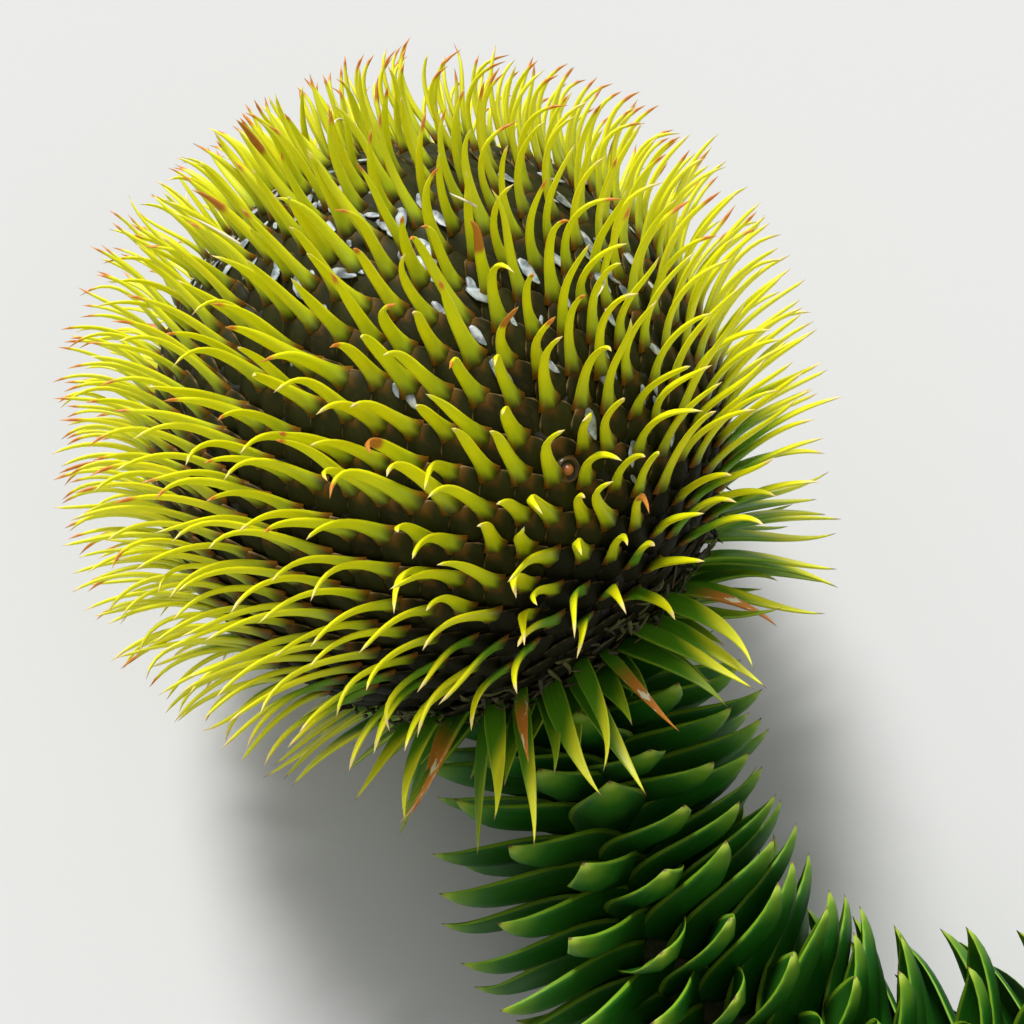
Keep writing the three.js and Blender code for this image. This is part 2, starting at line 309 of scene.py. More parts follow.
LEAF_GREEN = (0.02, 0.12, 0.006)
LEAF_STREAK = (0.04, 0.19, 0.008)
LEAF_PALE_END = (0.40, 0.48, 0.04)
LEAF_TIP = (0.16, 0.08, 0.03)
BARK_GREEN = (0.035, 0.070, 0.014)
BARK_GRAIN = (0.035, 0.024, 0.012)
WOOD_TINTS = ((0.62, 0.44, 0.24), (0.44, 0.27, 0.12))
WOOD_SPECK = (0.30, 0.18, 0.08)
WOOD_PITH = (0.20, 0.11, 0.05)
WOOD_RIM = (0.16, 0.12, 0.04)


def seed_setting(piece, default):
    return IntProperty(name="Seed", description=f"Changes every uneven thing on the {piece}", default=default)


def length_setting(name, description, default):
    return FloatProperty(name=name, description=description, default=default, unit="LENGTH")


def angle_setting(name, description, degrees):
    return FloatProperty(name=name, description=description, default=math.radians(degrees), subtype="ANGLE")


def colour_setting(name, description, default):
    return FloatVectorProperty(
        name=name, description=description, default=default, subtype="COLOR", size=3, min=0, max=1,
    )


class ConeSettings(bpy.types.PropertyGroup):
    """Sizes and colours of the seed cone."""

    seed: seed_setting("cone", 7)
    scales: IntProperty(
        name="Scales", description="Scales that would cover the whole ball", default=1080, min=100,
    )
    turn: angle_setting("Turn", "Where the spiral of scales begins", 327)
    scale_width: length_setting("Scale width", "Across one scale", 10.4 * MM)
    spine_width: length_setting("Spine width", "Across the flared foot of a spine", 6.4 * MM)
    spine_thickness: length_setting("Spine thickness", "Through the foot of a spine", 1.7 * MM)
    spine_edge: angle_setting("Edge of the spines", "Angle from the cone's tip where the spines end", 131)
    scale_colour: colour_setting("Scale colour", "Dark skin of the scales", (0.015, 0.014, 0.003))
    rim_colour: colour_setting("Rim colour", "Thin rim of a scale", (0.24, 0.15, 0.055))
    spine_colour: colour_setting("Spine colour", "Outer half of a spine", (0.86, 0.82, 0.003))
    spine_foot_colour: colour_setting("Spine foot colour", "Brown foot of a spine", (0.24, 0.09, 0.006))
    spine_point_colour: colour_setting("Spine point colour", "Withered point of a spine", (0.64, 0.20, 0.03))


class CollarSettings(bpy.types.PropertyGroup):
    """Sizes and colours of the collar of broad leaves under the cone."""

    seed: seed_setting("collar", 11)
    leaves: IntProperty(name="Leaves", description="Leaves in the collar", default=48, min=6)
    length: length_setting("Length", "Of a leaf", 41 * MM)
    width: length_setting("Width", "Of a leaf", 5.2 * MM)
    thickness: length_setting("Thickness", "Of a leaf", 1.6 * MM)
    colour: colour_setting("Colour", "Face of a leaf", (0.055, 0.20, 0.006))
    # The points' yellow is partly the leaves' own colour and partly painted sunlight
    point_colour: colour_setting("Point colour", "Sunlit point of a leaf", (0.78, 0.78, 0.02))


class ShootSettings(bpy.types.PropertyGroup):
    """Sizes and colours of the leafy shoot and its stem."""

    seed: seed_setting("shoot", 5)
    leaves: IntProperty(name="Leaves", description="Leaves on the shoot", default=226, min=6)
    length: length_setting("Leaf length", "Of a leaf", 43 * MM)
    width: length_setting("Leaf width", "Of a leaf", 20 * MM)
    thickness: length_setting("Leaf thickness", "Of a leaf", 1.1 * MM)
    bare_end: length_setting("Bare end", "Bare stem behind the last leaf", 9 * MM)
    colour: colour_setting("Leaf colour", "Face of a leaf", (0.008, 0.10, 0.003))
    edge_colour: colour_setting("Edge colour", "Edge of a leaf", (0.19, 0.36, 0.012))
    bark_colour: colour_setting("Bark colour", "Skin of the stem", (0.12, 0.085, 0.04))


class StageSettings(bpy.types.PropertyGroup):
    """The plain stage."""

    floor_size: length_setting("Floor size", "Across the floor", 12)
    floor_colour: colour_setting("Floor colour", "Pale floor", (0.56, 0.56, 0.55))
    key_power: FloatProperty(name="Key light", description="Power of the key light", default=4.0)
    fill_power: FloatProperty(name="Fill light", description="Power of the fill light", default=0.35)


SETTINGS = {
    "branch_cone": ConeSettings,
    "branch_collar": CollarSettings,
    "branch_shoot": ShootSettings,
    "branch_stage": StageSettings,
}


# Node trees, written as Python expressions


def operator_pair(operation):
    """The two methods that join a wire to another value, the wire first or last."""

    def first(wire, other):
        return wire.graph.maths(operation, wire, other)

    def last(wire, other):
        return wire.graph.maths(operation, other, wire)

    return first, last


class Wire:
    """An output socket that Python's operators work on."""

    def __init__(self, graph, socket):
        self.graph = graph
        self.socket = socket

    __add__, __radd__ = operator_pair("ADD")
    __sub__, __rsub__ = operator_pair("SUBTRACT")
    __mul__, __rmul__ = operator_pair("MULTIPLY")
    __truediv__, __rtruediv__ = operator_pair("DIVIDE")
    __pow__, __rpow__ = operator_pair("POWER")
    __gt__, __lt__ = operator_pair("GREATER_THAN")

    def __abs__(self):
        return self.graph.maths("ABSOLUTE", self)

    def output(self, name):
        """Another output of the same node."""
        return Wire(self.graph, pick_socket(self.socket.node.outputs, name))


def pick_socket(sockets, key):
    """A socket by its number, or the first one in use that has the name, or the first one in use."""
    if isinstance(key, int):
        return sockets[key]
    for socket in sockets:
        if socket.enabled and key in (None, socket.name):
            return socket
    raise KeyError(f"no socket named {key}")


def is_vector(value):
    if isinstance(value, Wire):
        return value.socket.type == "VECTOR"
    return isinstance(value, (tuple, Vector))


class Graph:
    """Adds nodes to a node tree."""

    def __init__(self, tree):
        self.tree = tree

    def node(self, kind, settings=None, values=None, output=None):
        """A new node with its settings, then its sockets' values or links. Gives one output."""
        node = self.tree.nodes.new(kind)
        for name, setting in (settings or {}).items():
            if name == "points":
                set_points(node.mapping, setting)
            else:
                setattr(node, name, setting)
        for key, value in (values or {}).items():
            self.feed(pick_socket(node.inputs, key), value)
        return Wire(self, pick_socket(node.outputs, output)) if node.outputs else node

    def feed(self, socket, value):
        if isinstance(value, Wire):
            self.tree.links.new(value.socket, socket)
        elif socket.type == "RGBA" and len(value) == 3:
            socket.default_value = (*value, 1)
        else:
            socket.default_value = value

    def maths(self, operation, *values):
        """A Math node, or a Vector Math node where a vector is among the values."""
        if not any(is_vector(value) for value in values):
            return self.node("ShaderNodeMath", {"operation": operation}, dict(enumerate(values)))
        if operation == "MULTIPLY" and not all(is_vector(value) for value in values):
            vector, scale = sorted(values, key=is_vector, reverse=True)
            return self.node("ShaderNodeVectorMath", {"operation": "SCALE"}, {0: vector, 3: scale})
        return self.node("ShaderNodeVectorMath", {"operation": operation}, dict(enumerate(values)))

    def smooth(self, value, low, high):
        """From 0 at low to 1 at high."""
        return self.node(
            "ShaderNodeMapRange", {"interpolation_type": "SMOOTHSTEP"},
            {"Value": value, "From Min": low, "From Max": high},
        )

    def mix(self, factor, first, second):
        """From the first colour at 0 to the second at 1."""
        return self.node(
            "ShaderNodeMix", {"data_type": "RGBA"}, {"Factor": factor, "A": first, "B": second},
        )

    def noise(self, vector, scale, detail=2.0):
        return self.node("ShaderNodeTexNoise", values={"Vector": vector, "Scale": scale, "Detail": detail})

    def split(self, vector):
        x = self.node("ShaderNodeSeparateXYZ", values={0: vector})
        return x, x.output("Y"), x.output("Z")

    def join(self, x, y, z):
        return self.node("ShaderNodeCombineXYZ", values={0: x, 1: y, 2: z})

    def move(self, geometry, place):
        return self.node("GeometryNodeSetPosition", values={"Geometry": geometry, "Position": place})

    def merge(self, geometry):
        """Closes the seams, where two corners are in one place."""
        return self.node(
            "GeometryNodeMergeByDistance", values={"Geometry": geometry, "Distance": MERGE_DISTANCE},
        )

    def sheet(self, columns, rows):
        """A flat square sheet, 1 across, with so many columns and rows of faces."""
        return self.node("GeometryNodeMeshGrid", values={
            "Size X": 1, "Size Y": 1, "Vertices X": columns + 1, "Vertices Y": rows + 1,
        })

    def named(self, name, kind="FLOAT_VECTOR"):
        """An attribute that the geometry carries."""
        return self.node("GeometryNodeInputNamedAttribute", {"data_type": kind}, {"Name": name}, "Attribute")

    def store(self, geometry, name, value, kind="FLOAT", domain="POINT"):
        """The geometry with one more attribute."""
        return self.node(
            "GeometryNodeStoreNamedAttribute", {"data_type": kind, "domain": domain},
            {"Geometry": geometry, "Name": name, "Value": value},
        )


def set_points(mapping, points):
    curve = mapping.curves[0]
    while len(curve.points) < len(points):
        curve.points.new(1, 1)
    for point, place in zip(curve.points, points):
        point.location = place
    mapping.update()


SOCKET_KINDS = {
    "Geometry": "NodeSocketGeometry",
    "Material": "NodeSocketMaterial",
    "Rings": "NodeSocketInt",
    "Sides": "NodeSocketInt",
}


def geometry_graph(name, input_names):
    """A new geometry node tree with named inputs. Those not listed above are numbers."""
    tree = bpy.data.node_groups.new(name, "GeometryNodeTree")
    for socket_name in ("Geometry", *input_names):
        kind = SOCKET_KINDS.get(socket_name, "NodeSocketFloat")
        tree.interface.new_socket(socket_name, in_out="INPUT", socket_type=kind)
    tree.interface.new_socket("Geometry", in_out="OUTPUT", socket_type="NodeSocketGeometry")
    graph = Graph(tree)
    first = graph.node("NodeGroupInput")
    given = {socket_name: first.output(socket_name) for socket_name in ("Geometry", *input_names)}
    return graph, given


def finish_tree(graph, geometry, material):
    """Ends a tree: real mesh, smooth, with its material."""
    real = graph.node("GeometryNodeRealizeInstances", values={"Geometry": geometry})
    soft = graph.node("GeometryNodeSetShadeSmooth", values={"Geometry": real, "Shade Smooth": True})
    clad = graph.node("GeometryNodeSetMaterial", values={"Geometry": soft, "Material": material})
    graph.node("NodeGroupOutput", values={"Geometry": clad})
    return graph.tree


def grow(name, mesh, tree, values):
    """Runs a tree on a mesh, and gives its result as a plain mesh object."""
    piece = bpy.data.objects.new(name, mesh)
    bpy.context.collection.objects.link(piece)
    modifier = piece.modifiers.new("Growth", "NODES")
    modifier.node_group = tree
    for item in tree.interface.items_tree:
        if item.in_out == "INPUT" and item.name in values:
            modifier[item.identifier] = values[item.name]
    depsgraph = bpy.context.evaluated_depsgraph_get()
    grown = bpy.data.meshes.new_from_object(
        piece.evaluated_get(depsgraph), preserve_all_data_layers=True, depsgraph=depsgraph,
    )
    piece.modifiers.clear()
    piece.data = grown
    grown.name = name
    grown.materials.clear()
    grown.materials.append(values["Material"])
    grown.polygons.foreach_set("material_index", [0] * len(grown.polygons))
    for seat_value in SEAT_VALUES:
        if seat_value in grown.attributes:
            grown.attributes.remove(grown.attributes[seat_value])
    bpy.data.meshes.remove(mesh)
    return piece


def hand_over(piece, nodes):
    """Ties a finished piece to the frame."""
    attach(piece, "root")
    if nodes:
        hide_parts(*nodes)


def grow_on_seats(name, seats, tree, values, nodes):
    """Grows one piece on its seats and hands it over."""
    hand_over(grow(name, seat_mesh("seats", seats), tree, values), nodes)


def numbered(name, count):
    return [f"{name}_{number}" for number in range(1, count + 1)]


# Seats: where a blade stands and how it bends


@dataclass
class Seat:
    """One blade, as a curve with three handles from its root."""

    root: Vector
    start: Vector
    bend: Vector
    tip: Vector
    side: Vector
    curl: Vector
    width: float
    thickness: float
    variant: float


VECTOR_VALUES = ("root", "start", "bend", "tip", "side", "curl")
NUMBER_VALUES = ("width", "thickness", "variant")
TEMPLATE_VALUES = ("along", "around", "spot")
SEAT_VALUES = (*VECTOR_VALUES, *NUMBER_VALUES, *TEMPLATE_VALUES)


def seat_mesh(name, seats):
    """A mesh of bare points that carry the seats' values."""
    mesh = bpy.data.meshes.new(name)
    mesh.vertices.add(len(seats))
    mesh.vertices.foreach_set("co", [value for seat in seats for value in seat.root])
    for field in VECTOR_VALUES:
        values = [value for seat in seats for value in getattr(seat, field)]
        mesh.attributes.new(field, "FLOAT_VECTOR", "POINT").data.foreach_set("vector", values)
    for field in NUMBER_VALUES:
        values = [getattr(seat, field) for seat in seats]
        mesh.attributes.new(field, "FLOAT", "POINT").data.foreach_set("value", values)
    return mesh


def between(table, place):
    """A row of values worked out between the two nearest rows of a table."""
    for low, high in zip(table, table[1:]):
        if place <= high[0]:
            share = (place - low[0]) / (high[0] - low[0])
            return [first + (last - first) * share for first, last in zip(low[1:], high[1:])]
    return list(table[-1][1:])


def smoothstep(value, low, high):
    """From 0 at low to 1 at high."""
    share = min(max((value - low) / (high - low), 0), 1)
    return share * share * (3 - 2 * share)


def fading(value, low, high):
    """From 1 at low to 0 at high."""
    return smoothstep(-value, -high, -low)


def lean_direction(normal, toward, lean):
    """Straight out at 0, and flat along toward at 90 degrees."""
    return normal * math.cos(math.radians(lean)) + toward * math.sin(math.radians(lean))


def bent_seat(root, normal, toward, leans, length, width, thickness, variant, curl):
    """A blade that leans towards a direction by three angles, at its foot, half way and at its point."""
    start, middle, end = (lean_direction(normal, toward, lean) for lean in leans)
    tip = (start + 4 * middle + end) * length / 6
    side = toward.cross(normal).normalized()
    return Seat(root, start * length / 3, tip - end * length / 3, tip, side, curl, width, thickness, variant)


def spiral_direction(index, count, turn):
    """The place of a scale on the cone, from the spiral that starts at its tip."""
    height = 1 - (2 * index + 1) / count
    side = math.sqrt(1 - height * height)
    angle = turn - index * GOLDEN_ANGLE
    return TO_CONE @ Vector((side * math.cos(angle), side * math.sin(angle), height))


def foot_direction(off_foot, turn):
    """The direction at an angle from the cone's foot and a turn round it."""
    across = math.sin(off_foot)
    return TO_CONE @ Vector((across * math.cos(turn), across * math.sin(turn), -math.cos(off_foot)))


def toward_tip(normal):
    """Along the cone's skin, straight towards its tip."""
    return (CONE_TIP - normal * normal.dot(CONE_TIP)).normalized()


def front_angle(normal):
    """How far round the cone a spot is from the side that the photograph shows."""
    front = toward_tip_across(TO_CAMERA)
    side = CONE_TIP.cross(front)
    return math.atan2(normal.dot(side), normal.dot(front))


def toward_tip_across(direction):
    """What is left of a direction square to the cone's axis."""
    return (direction - CONE_TIP * direction.dot(CONE_TIP)).normalized()


# What the blades and the small shapes share


def copies_on_seats(graph, seats, template):
    """A copy of a small mesh for every seat. Each copy carries its seat's values."""
    copies = graph.node("GeometryNodeInstanceOnPoints", values={"Points": seats, "Instance": template})
    return graph.node("GeometryNodeRealizeInstances", values={"Geometry": copies})


def map_to_columns(graph, geometry):
    """Puts the UV map of each copy in the column that its variant names."""
    u, v, _ = graph.split(graph.named(UV_NAME))
    column = graph.named("variant", "FLOAT") + COLUMN_MARGIN + u * (1 - 2 * COLUMN_MARGIN)
    return graph.store(geometry, UV_NAME, graph.join(column / BLADE_COLUMNS, v, 0), "FLOAT2", "CORNER")


def blade_graph(name, outline, rings, sides):
    """Turns each seat into a closed blade: a sheet rolled to a flat tube that follows the seat's curve."""
    graph, given = geometry_graph(name, ("Dish", "Keel", "Plate", "Clearance", "Material"))
    sheet = graph.sheet(sides, rings)
    flat_map = sheet.output("UV Map")
    x, y, _ = graph.split(graph.node("GeometryNodeInputPosition"))
    template = graph.store(sheet, "around", x + 0.5)
    template = graph.store(template, "along", y + 0.5)
    template = graph.store(template, UV_NAME, flat_map, "FLOAT2", "CORNER")
    blades = copies_on_seats(graph, given["Geometry"], template)

    along = graph.named("along", "FLOAT")
    rest = 1 - along
    angle = graph.named("around", "FLOAT") * -FULL_TURN
    across = graph.maths("COSINE", angle)
    through = graph.maths("SINE", angle)
    start = graph.named("start")
    bend = graph.named("bend")
    tip = graph.named("tip")
    side = graph.named("side")
    middle = graph.named("root") + start * (3 * along * rest * rest) + bend * (3 * along * along * rest)
    middle = middle + tip * (along * along * along)
    direction = start * (3 * rest * (1 - 3 * along)) + bend * (3 * along * (2 - 3 * along))
    direction = direction + tip * (3 * along * along)
    outward = graph.maths("NORMALIZE", graph.maths("CROSS_PRODUCT", side, direction))
    half = graph.node("ShaderNodeFloatCurve", {"points": outline}, {"Factor": 1, "Value": along})
    half = graph.maths("MAXIMUM", half, 0)
    half_width = half * graph.named("width", "FLOAT") * 0.5
    half_depth = graph.maths("SQRT", half) * graph.named("thickness", "FLOAT") * 0.5
    keel = given["Keel"] * (1 - abs(across)) * graph.maths("MAXIMUM", through, 0)
    full = graph.maths("SIGN", through) * abs(through) ** given["Plate"]
    height = half_depth * full * (1 + keel) - half_width * across * across * given["Dish"]
    place = middle + side * (half_width * across) + outward * height
    place = place + graph.named("curl") * (along ** CURL_POWER)

    # What would go under the floor is pressed flat above it
    place_x, place_y, place_z = graph.split(place)
    room = given["Clearance"]
    below = graph.maths("MINIMUM", place_z - room, 0)
    lifted = graph.maths("MAXIMUM", place_z, room) - room + room * graph.maths("EXPONENT", below / room)
    bent = graph.move(blades, graph.join(place_x, place_y, lifted))
    return finish_tree(graph, graph.merge(map_to_columns(graph, bent)), given["Material"])


def column_map(graph):
    """Where a spot is on the UV map: its column, and the place across that and along it."""
    u, v, _ = graph.split(graph.node("ShaderNodeUVMap", {"uv_map": UV_NAME}))
    column = graph.maths("FLOOR", u * BLADE_COLUMNS)
    return column, (u * BLADE_COLUMNS - column - COLUMN_MARGIN) / (1 - 2 * COLUMN_MARGIN), v


def chance_for(graph, column):
    """A random number for each column."""
    return graph.node("ShaderNodeTexWhiteNoise", {"noise_dimensions": "1D"}, {"W": column + 0.5}, "Value")


def blade_map(graph):
    """Where a spot is on a blade: its column and a random number for that, the place round the blade, how
    close that is to an edge, and the place along the blade."""
    column, around, along = column_map(graph)
    edge = abs(graph.maths("COSINE", around * FULL_TURN))
    return column, chance_for(graph, column), around, edge, along


def tile_map(graph):
    """Where a spot is on a small closed shape: its column, the place across and along from the middle, and
    how far it is from there."""
    column, across, along = column_map(graph)
    across = across * 2 - 1
    along = along * 2 - 1
    return column, across, along, graph.maths("SQRT", across * across + along * along)


def is_past(column, tints):
    """1 in the columns from the first of these tints on."""
    return column > tints[0] - 0.5


def new_material(name):
    material = bpy.data.materials.new(name)
    material.use_nodes = True
    graph = Graph(material.node_tree)
    shader = material.node_tree.nodes["Principled BSDF"]
    return material, graph, shader


def object_spot(graph):
    return graph.node("ShaderNodeTexCoord", output="Object")


def set_shader(graph, shader, values):
    for name, value in values.items():
        graph.feed(shader.inputs[name], value)


# The spines


def spine_material(cone):
    material, graph, shader = new_material("waxy_spines")
    column, chance, _, edge, along = blade_map(graph)
    yellow = graph.mix(chance, cone.spine_colour, SPINE_YELLOW)
    yellow = graph.mix(graph.smooth(edge, 0.45, 1) * 0.4, yellow, SPINE_RIDGE)
    is_dead = is_past(column, DEAD_TINTS)
    is_deep = is_past(column, DEEP_TINTS) - is_dead
    green = graph.mix(is_deep, graph.mix(chance, *SPINE_GREENS), SPINE_DEEP_GREEN)
    skin = graph.mix(graph.smooth(along - is_deep * 0.3, 0.05, 0.48), green, yellow)
    foot = graph.mix(graph.smooth(edge, 0.45, 0.9), SPINE_FOOT_EDGE, cone.spine_foot_colour)
    base = graph.mix(graph.smooth(along - edge * 0.06, 0.045, 0.19), foot, skin)
    is_warm = 1 - is_past(column, PALE_TINTS)
    tips = along - chance * 0.06 - (1 - is_warm) * 0.06 + is_dead * (0.2 + chance * 0.25)
    withered = graph.mix(is_warm, SPINE_PALE_POINT, cone.spine_point_colour)
    withered = graph.mix(is_dead, withered, SPINE_DEAD)
    set_shader(graph, shader, {
        "Base Color": graph.mix(graph.smooth(tips, 0.79, 0.88), base, withered),
        "Roughness": 0.42, "Subsurface Weight": 0.25,
        "Subsurface Radius": (0.8, 0.9, 0.15), "Subsurface Scale": 2.5 * MM,
    })
    return material


def make_spines():
    cone = bpy.context.scene.branch_cone
    dice = random.Random(cone.seed)
    seats = []
    for index in range(cone.scales):
        normal = spiral_direction(index, cone.scales, cone.turn)
        away = normal.angle(CONE_TIP)
        degrees = math.degrees(away)
        front = front_angle(normal)
        to_left = max(-math.sin(front), 0)
        lowness = degrees + EDGE_RISE * to_left
        if lowness > math.degrees(cone.spine_edge) or normal.angle(Vector(SCAR_PLACE)) < SCAR_CLEARING:
            continue
        toward = toward_tip(normal)
        *leans, reach = between(SPINE_POSTURES, degrees)
        loose = 1 + LOOSE_SHARE * fading(degrees, *LOOSE_PART)
        behind = max(math.cos(front - BACK_LINE), 0) * max(math.sin(2 * away), 0)
        leans[2] += SPINE_TURN * math.sin(front) - SPINE_BACK_TURN * behind
        hooked = max(math.cos(front - HOOK_LINE), 0) ** 3 * smoothstep(degrees, *HOOK_PART)
        leans[1] += SPINE_FRONT_TURN * hooked
        leans[2] += SPINE_FRONT_TURN * hooked
        reach -= HOOK_SHORTER * hooked
        leans = [lean + dice.gauss(0, wobble * loose) for lean, wobble in zip(leans, SPINE_WOBBLE)]
        # The share of its length by which a blade gets outwards, weighed as bent_seat weighs its leans
        outward = sum(weight * math.cos(math.radians(lean)) for weight, lean in zip((1, 4, 1), leans)) / 6
        rise = reach * MM - CORE_RADIUS + dice.gauss(0, REACH_WOBBLE) * MM
        length = rise / max(outward, LEAST_OUTWARD)
        fan = math.sin(front - FAN_LINE)
        spread = SPINE_FAN * fan + dice.gauss(0, FAN_WOBBLE)
        swing = Quaternion(normal, -math.radians(spread))
        root = CONE_CENTRE + normal * (CORE_RADIUS - SPINE_SUNK) + toward * SPINE_SHIFT * MM
        side_curl = toward.cross(normal) * dice.gauss(SIDE_CURL * fan, SIDE_CURL_WOBBLE)
        curl = (side_curl + toward * dice.gauss(*TIP_CURL)) * MM
        low = smoothstep(lowness, *LOW_PART)
        slim = SLIM_SHARE * (1 - smoothstep(degrees, *SLIM_PART))
        slim += SLIM_SHARE * to_left * (1 - low)
        width = cone.spine_width * (1 + LOW_WIDER * low * (1 - hooked) - slim) * dice.uniform(*SPINE_SIZES)
        thickness = cone.spine_thickness * (1 - slim)
        warm_share = WARM_SHARE - WARM_LESS * smoothstep(degrees, *WARM_PART)
        warm_share -= WARM_FRONT_LESS * max(math.cos(front), 0)
        tints = WARM_TINTS if dice.random() < warm_share else PALE_TINTS
        tints = DEEP_TINTS if dice.random() < low * LOW_DEEP_SHARE else tints
        variant = dice.choice(DEAD_TINTS if dice.random() < DEAD_SPINE_SHARE else tints)
        seats.append(bent_seat(root, normal, swing @ toward, leans, length, width, thickness, variant, curl))
    tree = blade_graph("Spines", SPINE_OUTLINE, rings=12, sides=8)
    grow_on_seats("cone_spine_blades", seats, tree, {
        "Dish": 0.1, "Keel": 0.5, "Plate": 1, "Clearance": 1.5 * MM, "Material": spine_material(cone),
    }, numbered("cone_spines", 6))


class BRANCH_OT_spines(bpy.types.Operator):
    """Grows the cone's curved spines"""

    bl_idname = "branch.spines"
    bl_label = "Spines"

    def execute(self, context):
        make_spines()
        return {"FINISHED"}


# The stage


def plain_material(name, colour, roughness):
    material, graph, shader = new_material(name)
    set_shader(graph, shader, {"Base Color": colour, "Roughness": roughness})
    return material


def add_soft_light(name, place, spread, power):
    """A far light that comes from a wide part of the sky, so the floor is lit evenly."""
    light = bpy.data.lights.new(name, "SUN")
    light.angle = math.radians(spread)
    light.energy = power
    lamp = bpy.data.objects.new(name, light)
    lamp.location = place
    lamp.rotation_euler = (-Vector(place)).to_track_quat("-Z", "Y").to_euler()
    bpy.context.collection.objects.link(lamp)


def make_stage():
    stage = bpy.context.scene.branch_stage
    half = stage.floor_size / 2
    mesh = bpy.data.meshes.new("floor")
    corners = [(x, y, 0) for x, y in ((-half, -half), (half, -half), (half, half), (-half, half))]
    mesh.from_pydata(corners, [], [(0, 1, 2, 3)])
    floor = bpy.data.objects.new("floor", mesh)
    bpy.context.collection.objects.link(floor)
    mesh.materials.append(plain_material("pale_floor", stage.floor_colour, roughness=0.9))

    add_soft_light("key_light", place=(-0.35, 0.95, 1.2), spread=16, power=stage.key_power)
    add_soft_light("fill_light", place=(0.5, -0.8, 1.3), spread=60, power=stage.fill_power)
    world = bpy.data.worlds.new("soft_room")
    world.use_nodes = True
    backdrop = world.node_tree.nodes["Background"]
    backdrop.inputs["Color"].default_value = (*ROOM_COLOUR, 1)
    backdrop.inputs["Strength"].default_value = ROOM_STRENGTH
    bpy.context.scene.world = world

    turn = Matrix.Rotation(CAMERA_TIP, 3, "X")
    lens = bpy.data.cameras.new("camera")
    lens.sensor_width = SENSOR
    lens.lens = SENSOR * FOCAL_PIXELS / FRAME_PIXELS
    lens.clip_start = 0.01
    camera = bpy.data.objects.new("camera", lens)
    camera.location = CONE_CENTRE + turn @ CAMERA_PLACE
    camera.rotation_euler = turn.to_euler()
    bpy.context.collection.objects.link(camera)
    bpy.context.scene.camera = camera
    bpy.context.scene.view_settings.view_transform = "Standard"


class BRANCH_OT_stage(bpy.types.Operator):
    """Sets the floor, the lights and the camera"""

    bl_idname = "branch.stage"
    bl_label = "Stage"

    def execute(self, context):
        make_stage()
        return {"FINISHED"}


# The scales, the resin and the scar


def tile_graph(name, shape):
    """Sets a small closed shape on every seat. The rule gives a place across, along and out of the skin from
    a spot on a ball of radius 1, in shares of the seat's width, length and height."""
    graph, given = geometry_graph(name, ("Sides", "Rings", "Width", "Length", "Height", "Material"))
    ball = graph.node(
        "GeometryNodeMeshUVSphere",
        values={"Segments": given["Sides"], "Rings": given["Rings"], "Radius": 1.0},
    )
    position = graph.node("GeometryNodeInputPosition")
    template = graph.store(ball, "spot", position, "FLOAT_VECTOR")
    x, y, _ = graph.split(position)
    flat_map = graph.join(x * 0.5 + 0.5, y * 0.5 + 0.5, 0)
    template = graph.store(template, UV_NAME, flat_map, "FLOAT2", "CORNER")
    tiles = copies_on_seats(graph, given["Geometry"], template)
    across, along, out = shape(graph, *graph.split(graph.named("spot")))
    size = graph.named("width", "FLOAT")
    toward = graph.named("start")
    side = graph.named("side")
    normal = graph.maths("CROSS_PRODUCT", side, toward)
    place = graph.named("root") + side * (across * size * given["Width"])
    place = place + toward * (along * size * given["Length"]) + normal * (out * size * given["Height"])
    return finish_tree(graph, map_to_columns(graph, graph.move(tiles, place)), given["Material"])


def tile_seat(root, toward, normal, size, variant):
    """A seat for a small closed shape: its own direction along the skin is its start."""
    side = toward.cross(normal).normalized()
    nothing = Vector()
    return Seat(root, toward, nothing, nothing, side, nothing, size, 0, variant)


def fan_shape(graph, x, y, z):
    """A scale: round, domed, and lifted at its end towards the cone's tip, where it has a blunt corner."""
    upper = graph.maths("MAXIMUM", y, 0)
    inner = 1 - abs(x)
    along = y * FAN_LENGTH + upper * inner * inner * FAN_CORNER
    rise = (y + 1) * FAN_RISE - x * x * FAN_FALL
    return x * (1 - upper * FAN_TAPER), along, z * FAN_THICKNESS + rise - FAN_SUNK


def scale_material(cone):
    material, graph, shader = new_material("woody_scales")
    column, across, along, far = tile_map(graph)
    grain = graph.noise(graph.join(across * 4, along * 2, column), 1.6, 4.0)
    skin = graph.mix(chance_for(graph, column), cone.scale_colour, SCALE_OLIVE)
    skin = graph.mix(graph.smooth(grain, 0.45, 0.75) * 0.6, skin, SCALE_GRAIN)
    # The lowest scales are darkened and lose their warm foot colour and most of their rim: partly their own
    # darker tone, partly painted shade
    is_deep = is_past(column, DEEP_TINTS)
    is_plain = 1 - is_deep
    skin = graph.mix(is_deep * 0.65, skin, SCALE_DARK_AND_SHADE)
    warm = graph.smooth(along - abs(across) * 0.9, 0.1, 0.75)
    skin = graph.mix(warm * is_plain * 0.42, skin, cone.spine_foot_colour)
    rim = graph.smooth(far, 0.9, 0.97) * graph.smooth(along, -0.5, 0.1) * (is_plain * 0.7 + 0.3)
    set_shader(graph, shader, {
        "Base Color": graph.mix(rim, skin, cone.rim_colour),
        "Roughness": 0.55 + graph.smooth(grain, 0.3, 0.8) * 0.25, "Specular IOR Level": 0.15,
    })
    return material


def heart_material(cone):
    material, graph, shader = new_material("dark_scale_feet")
    grain = graph.noise(object_spot(graph), 300.0, 3.0)
    skin = graph.mix(grain, HEART_BROWN, cone.scale_colour)
    set_shader(graph, shader, {"Base Color": skin, "Roughness": 0.75})
    return material


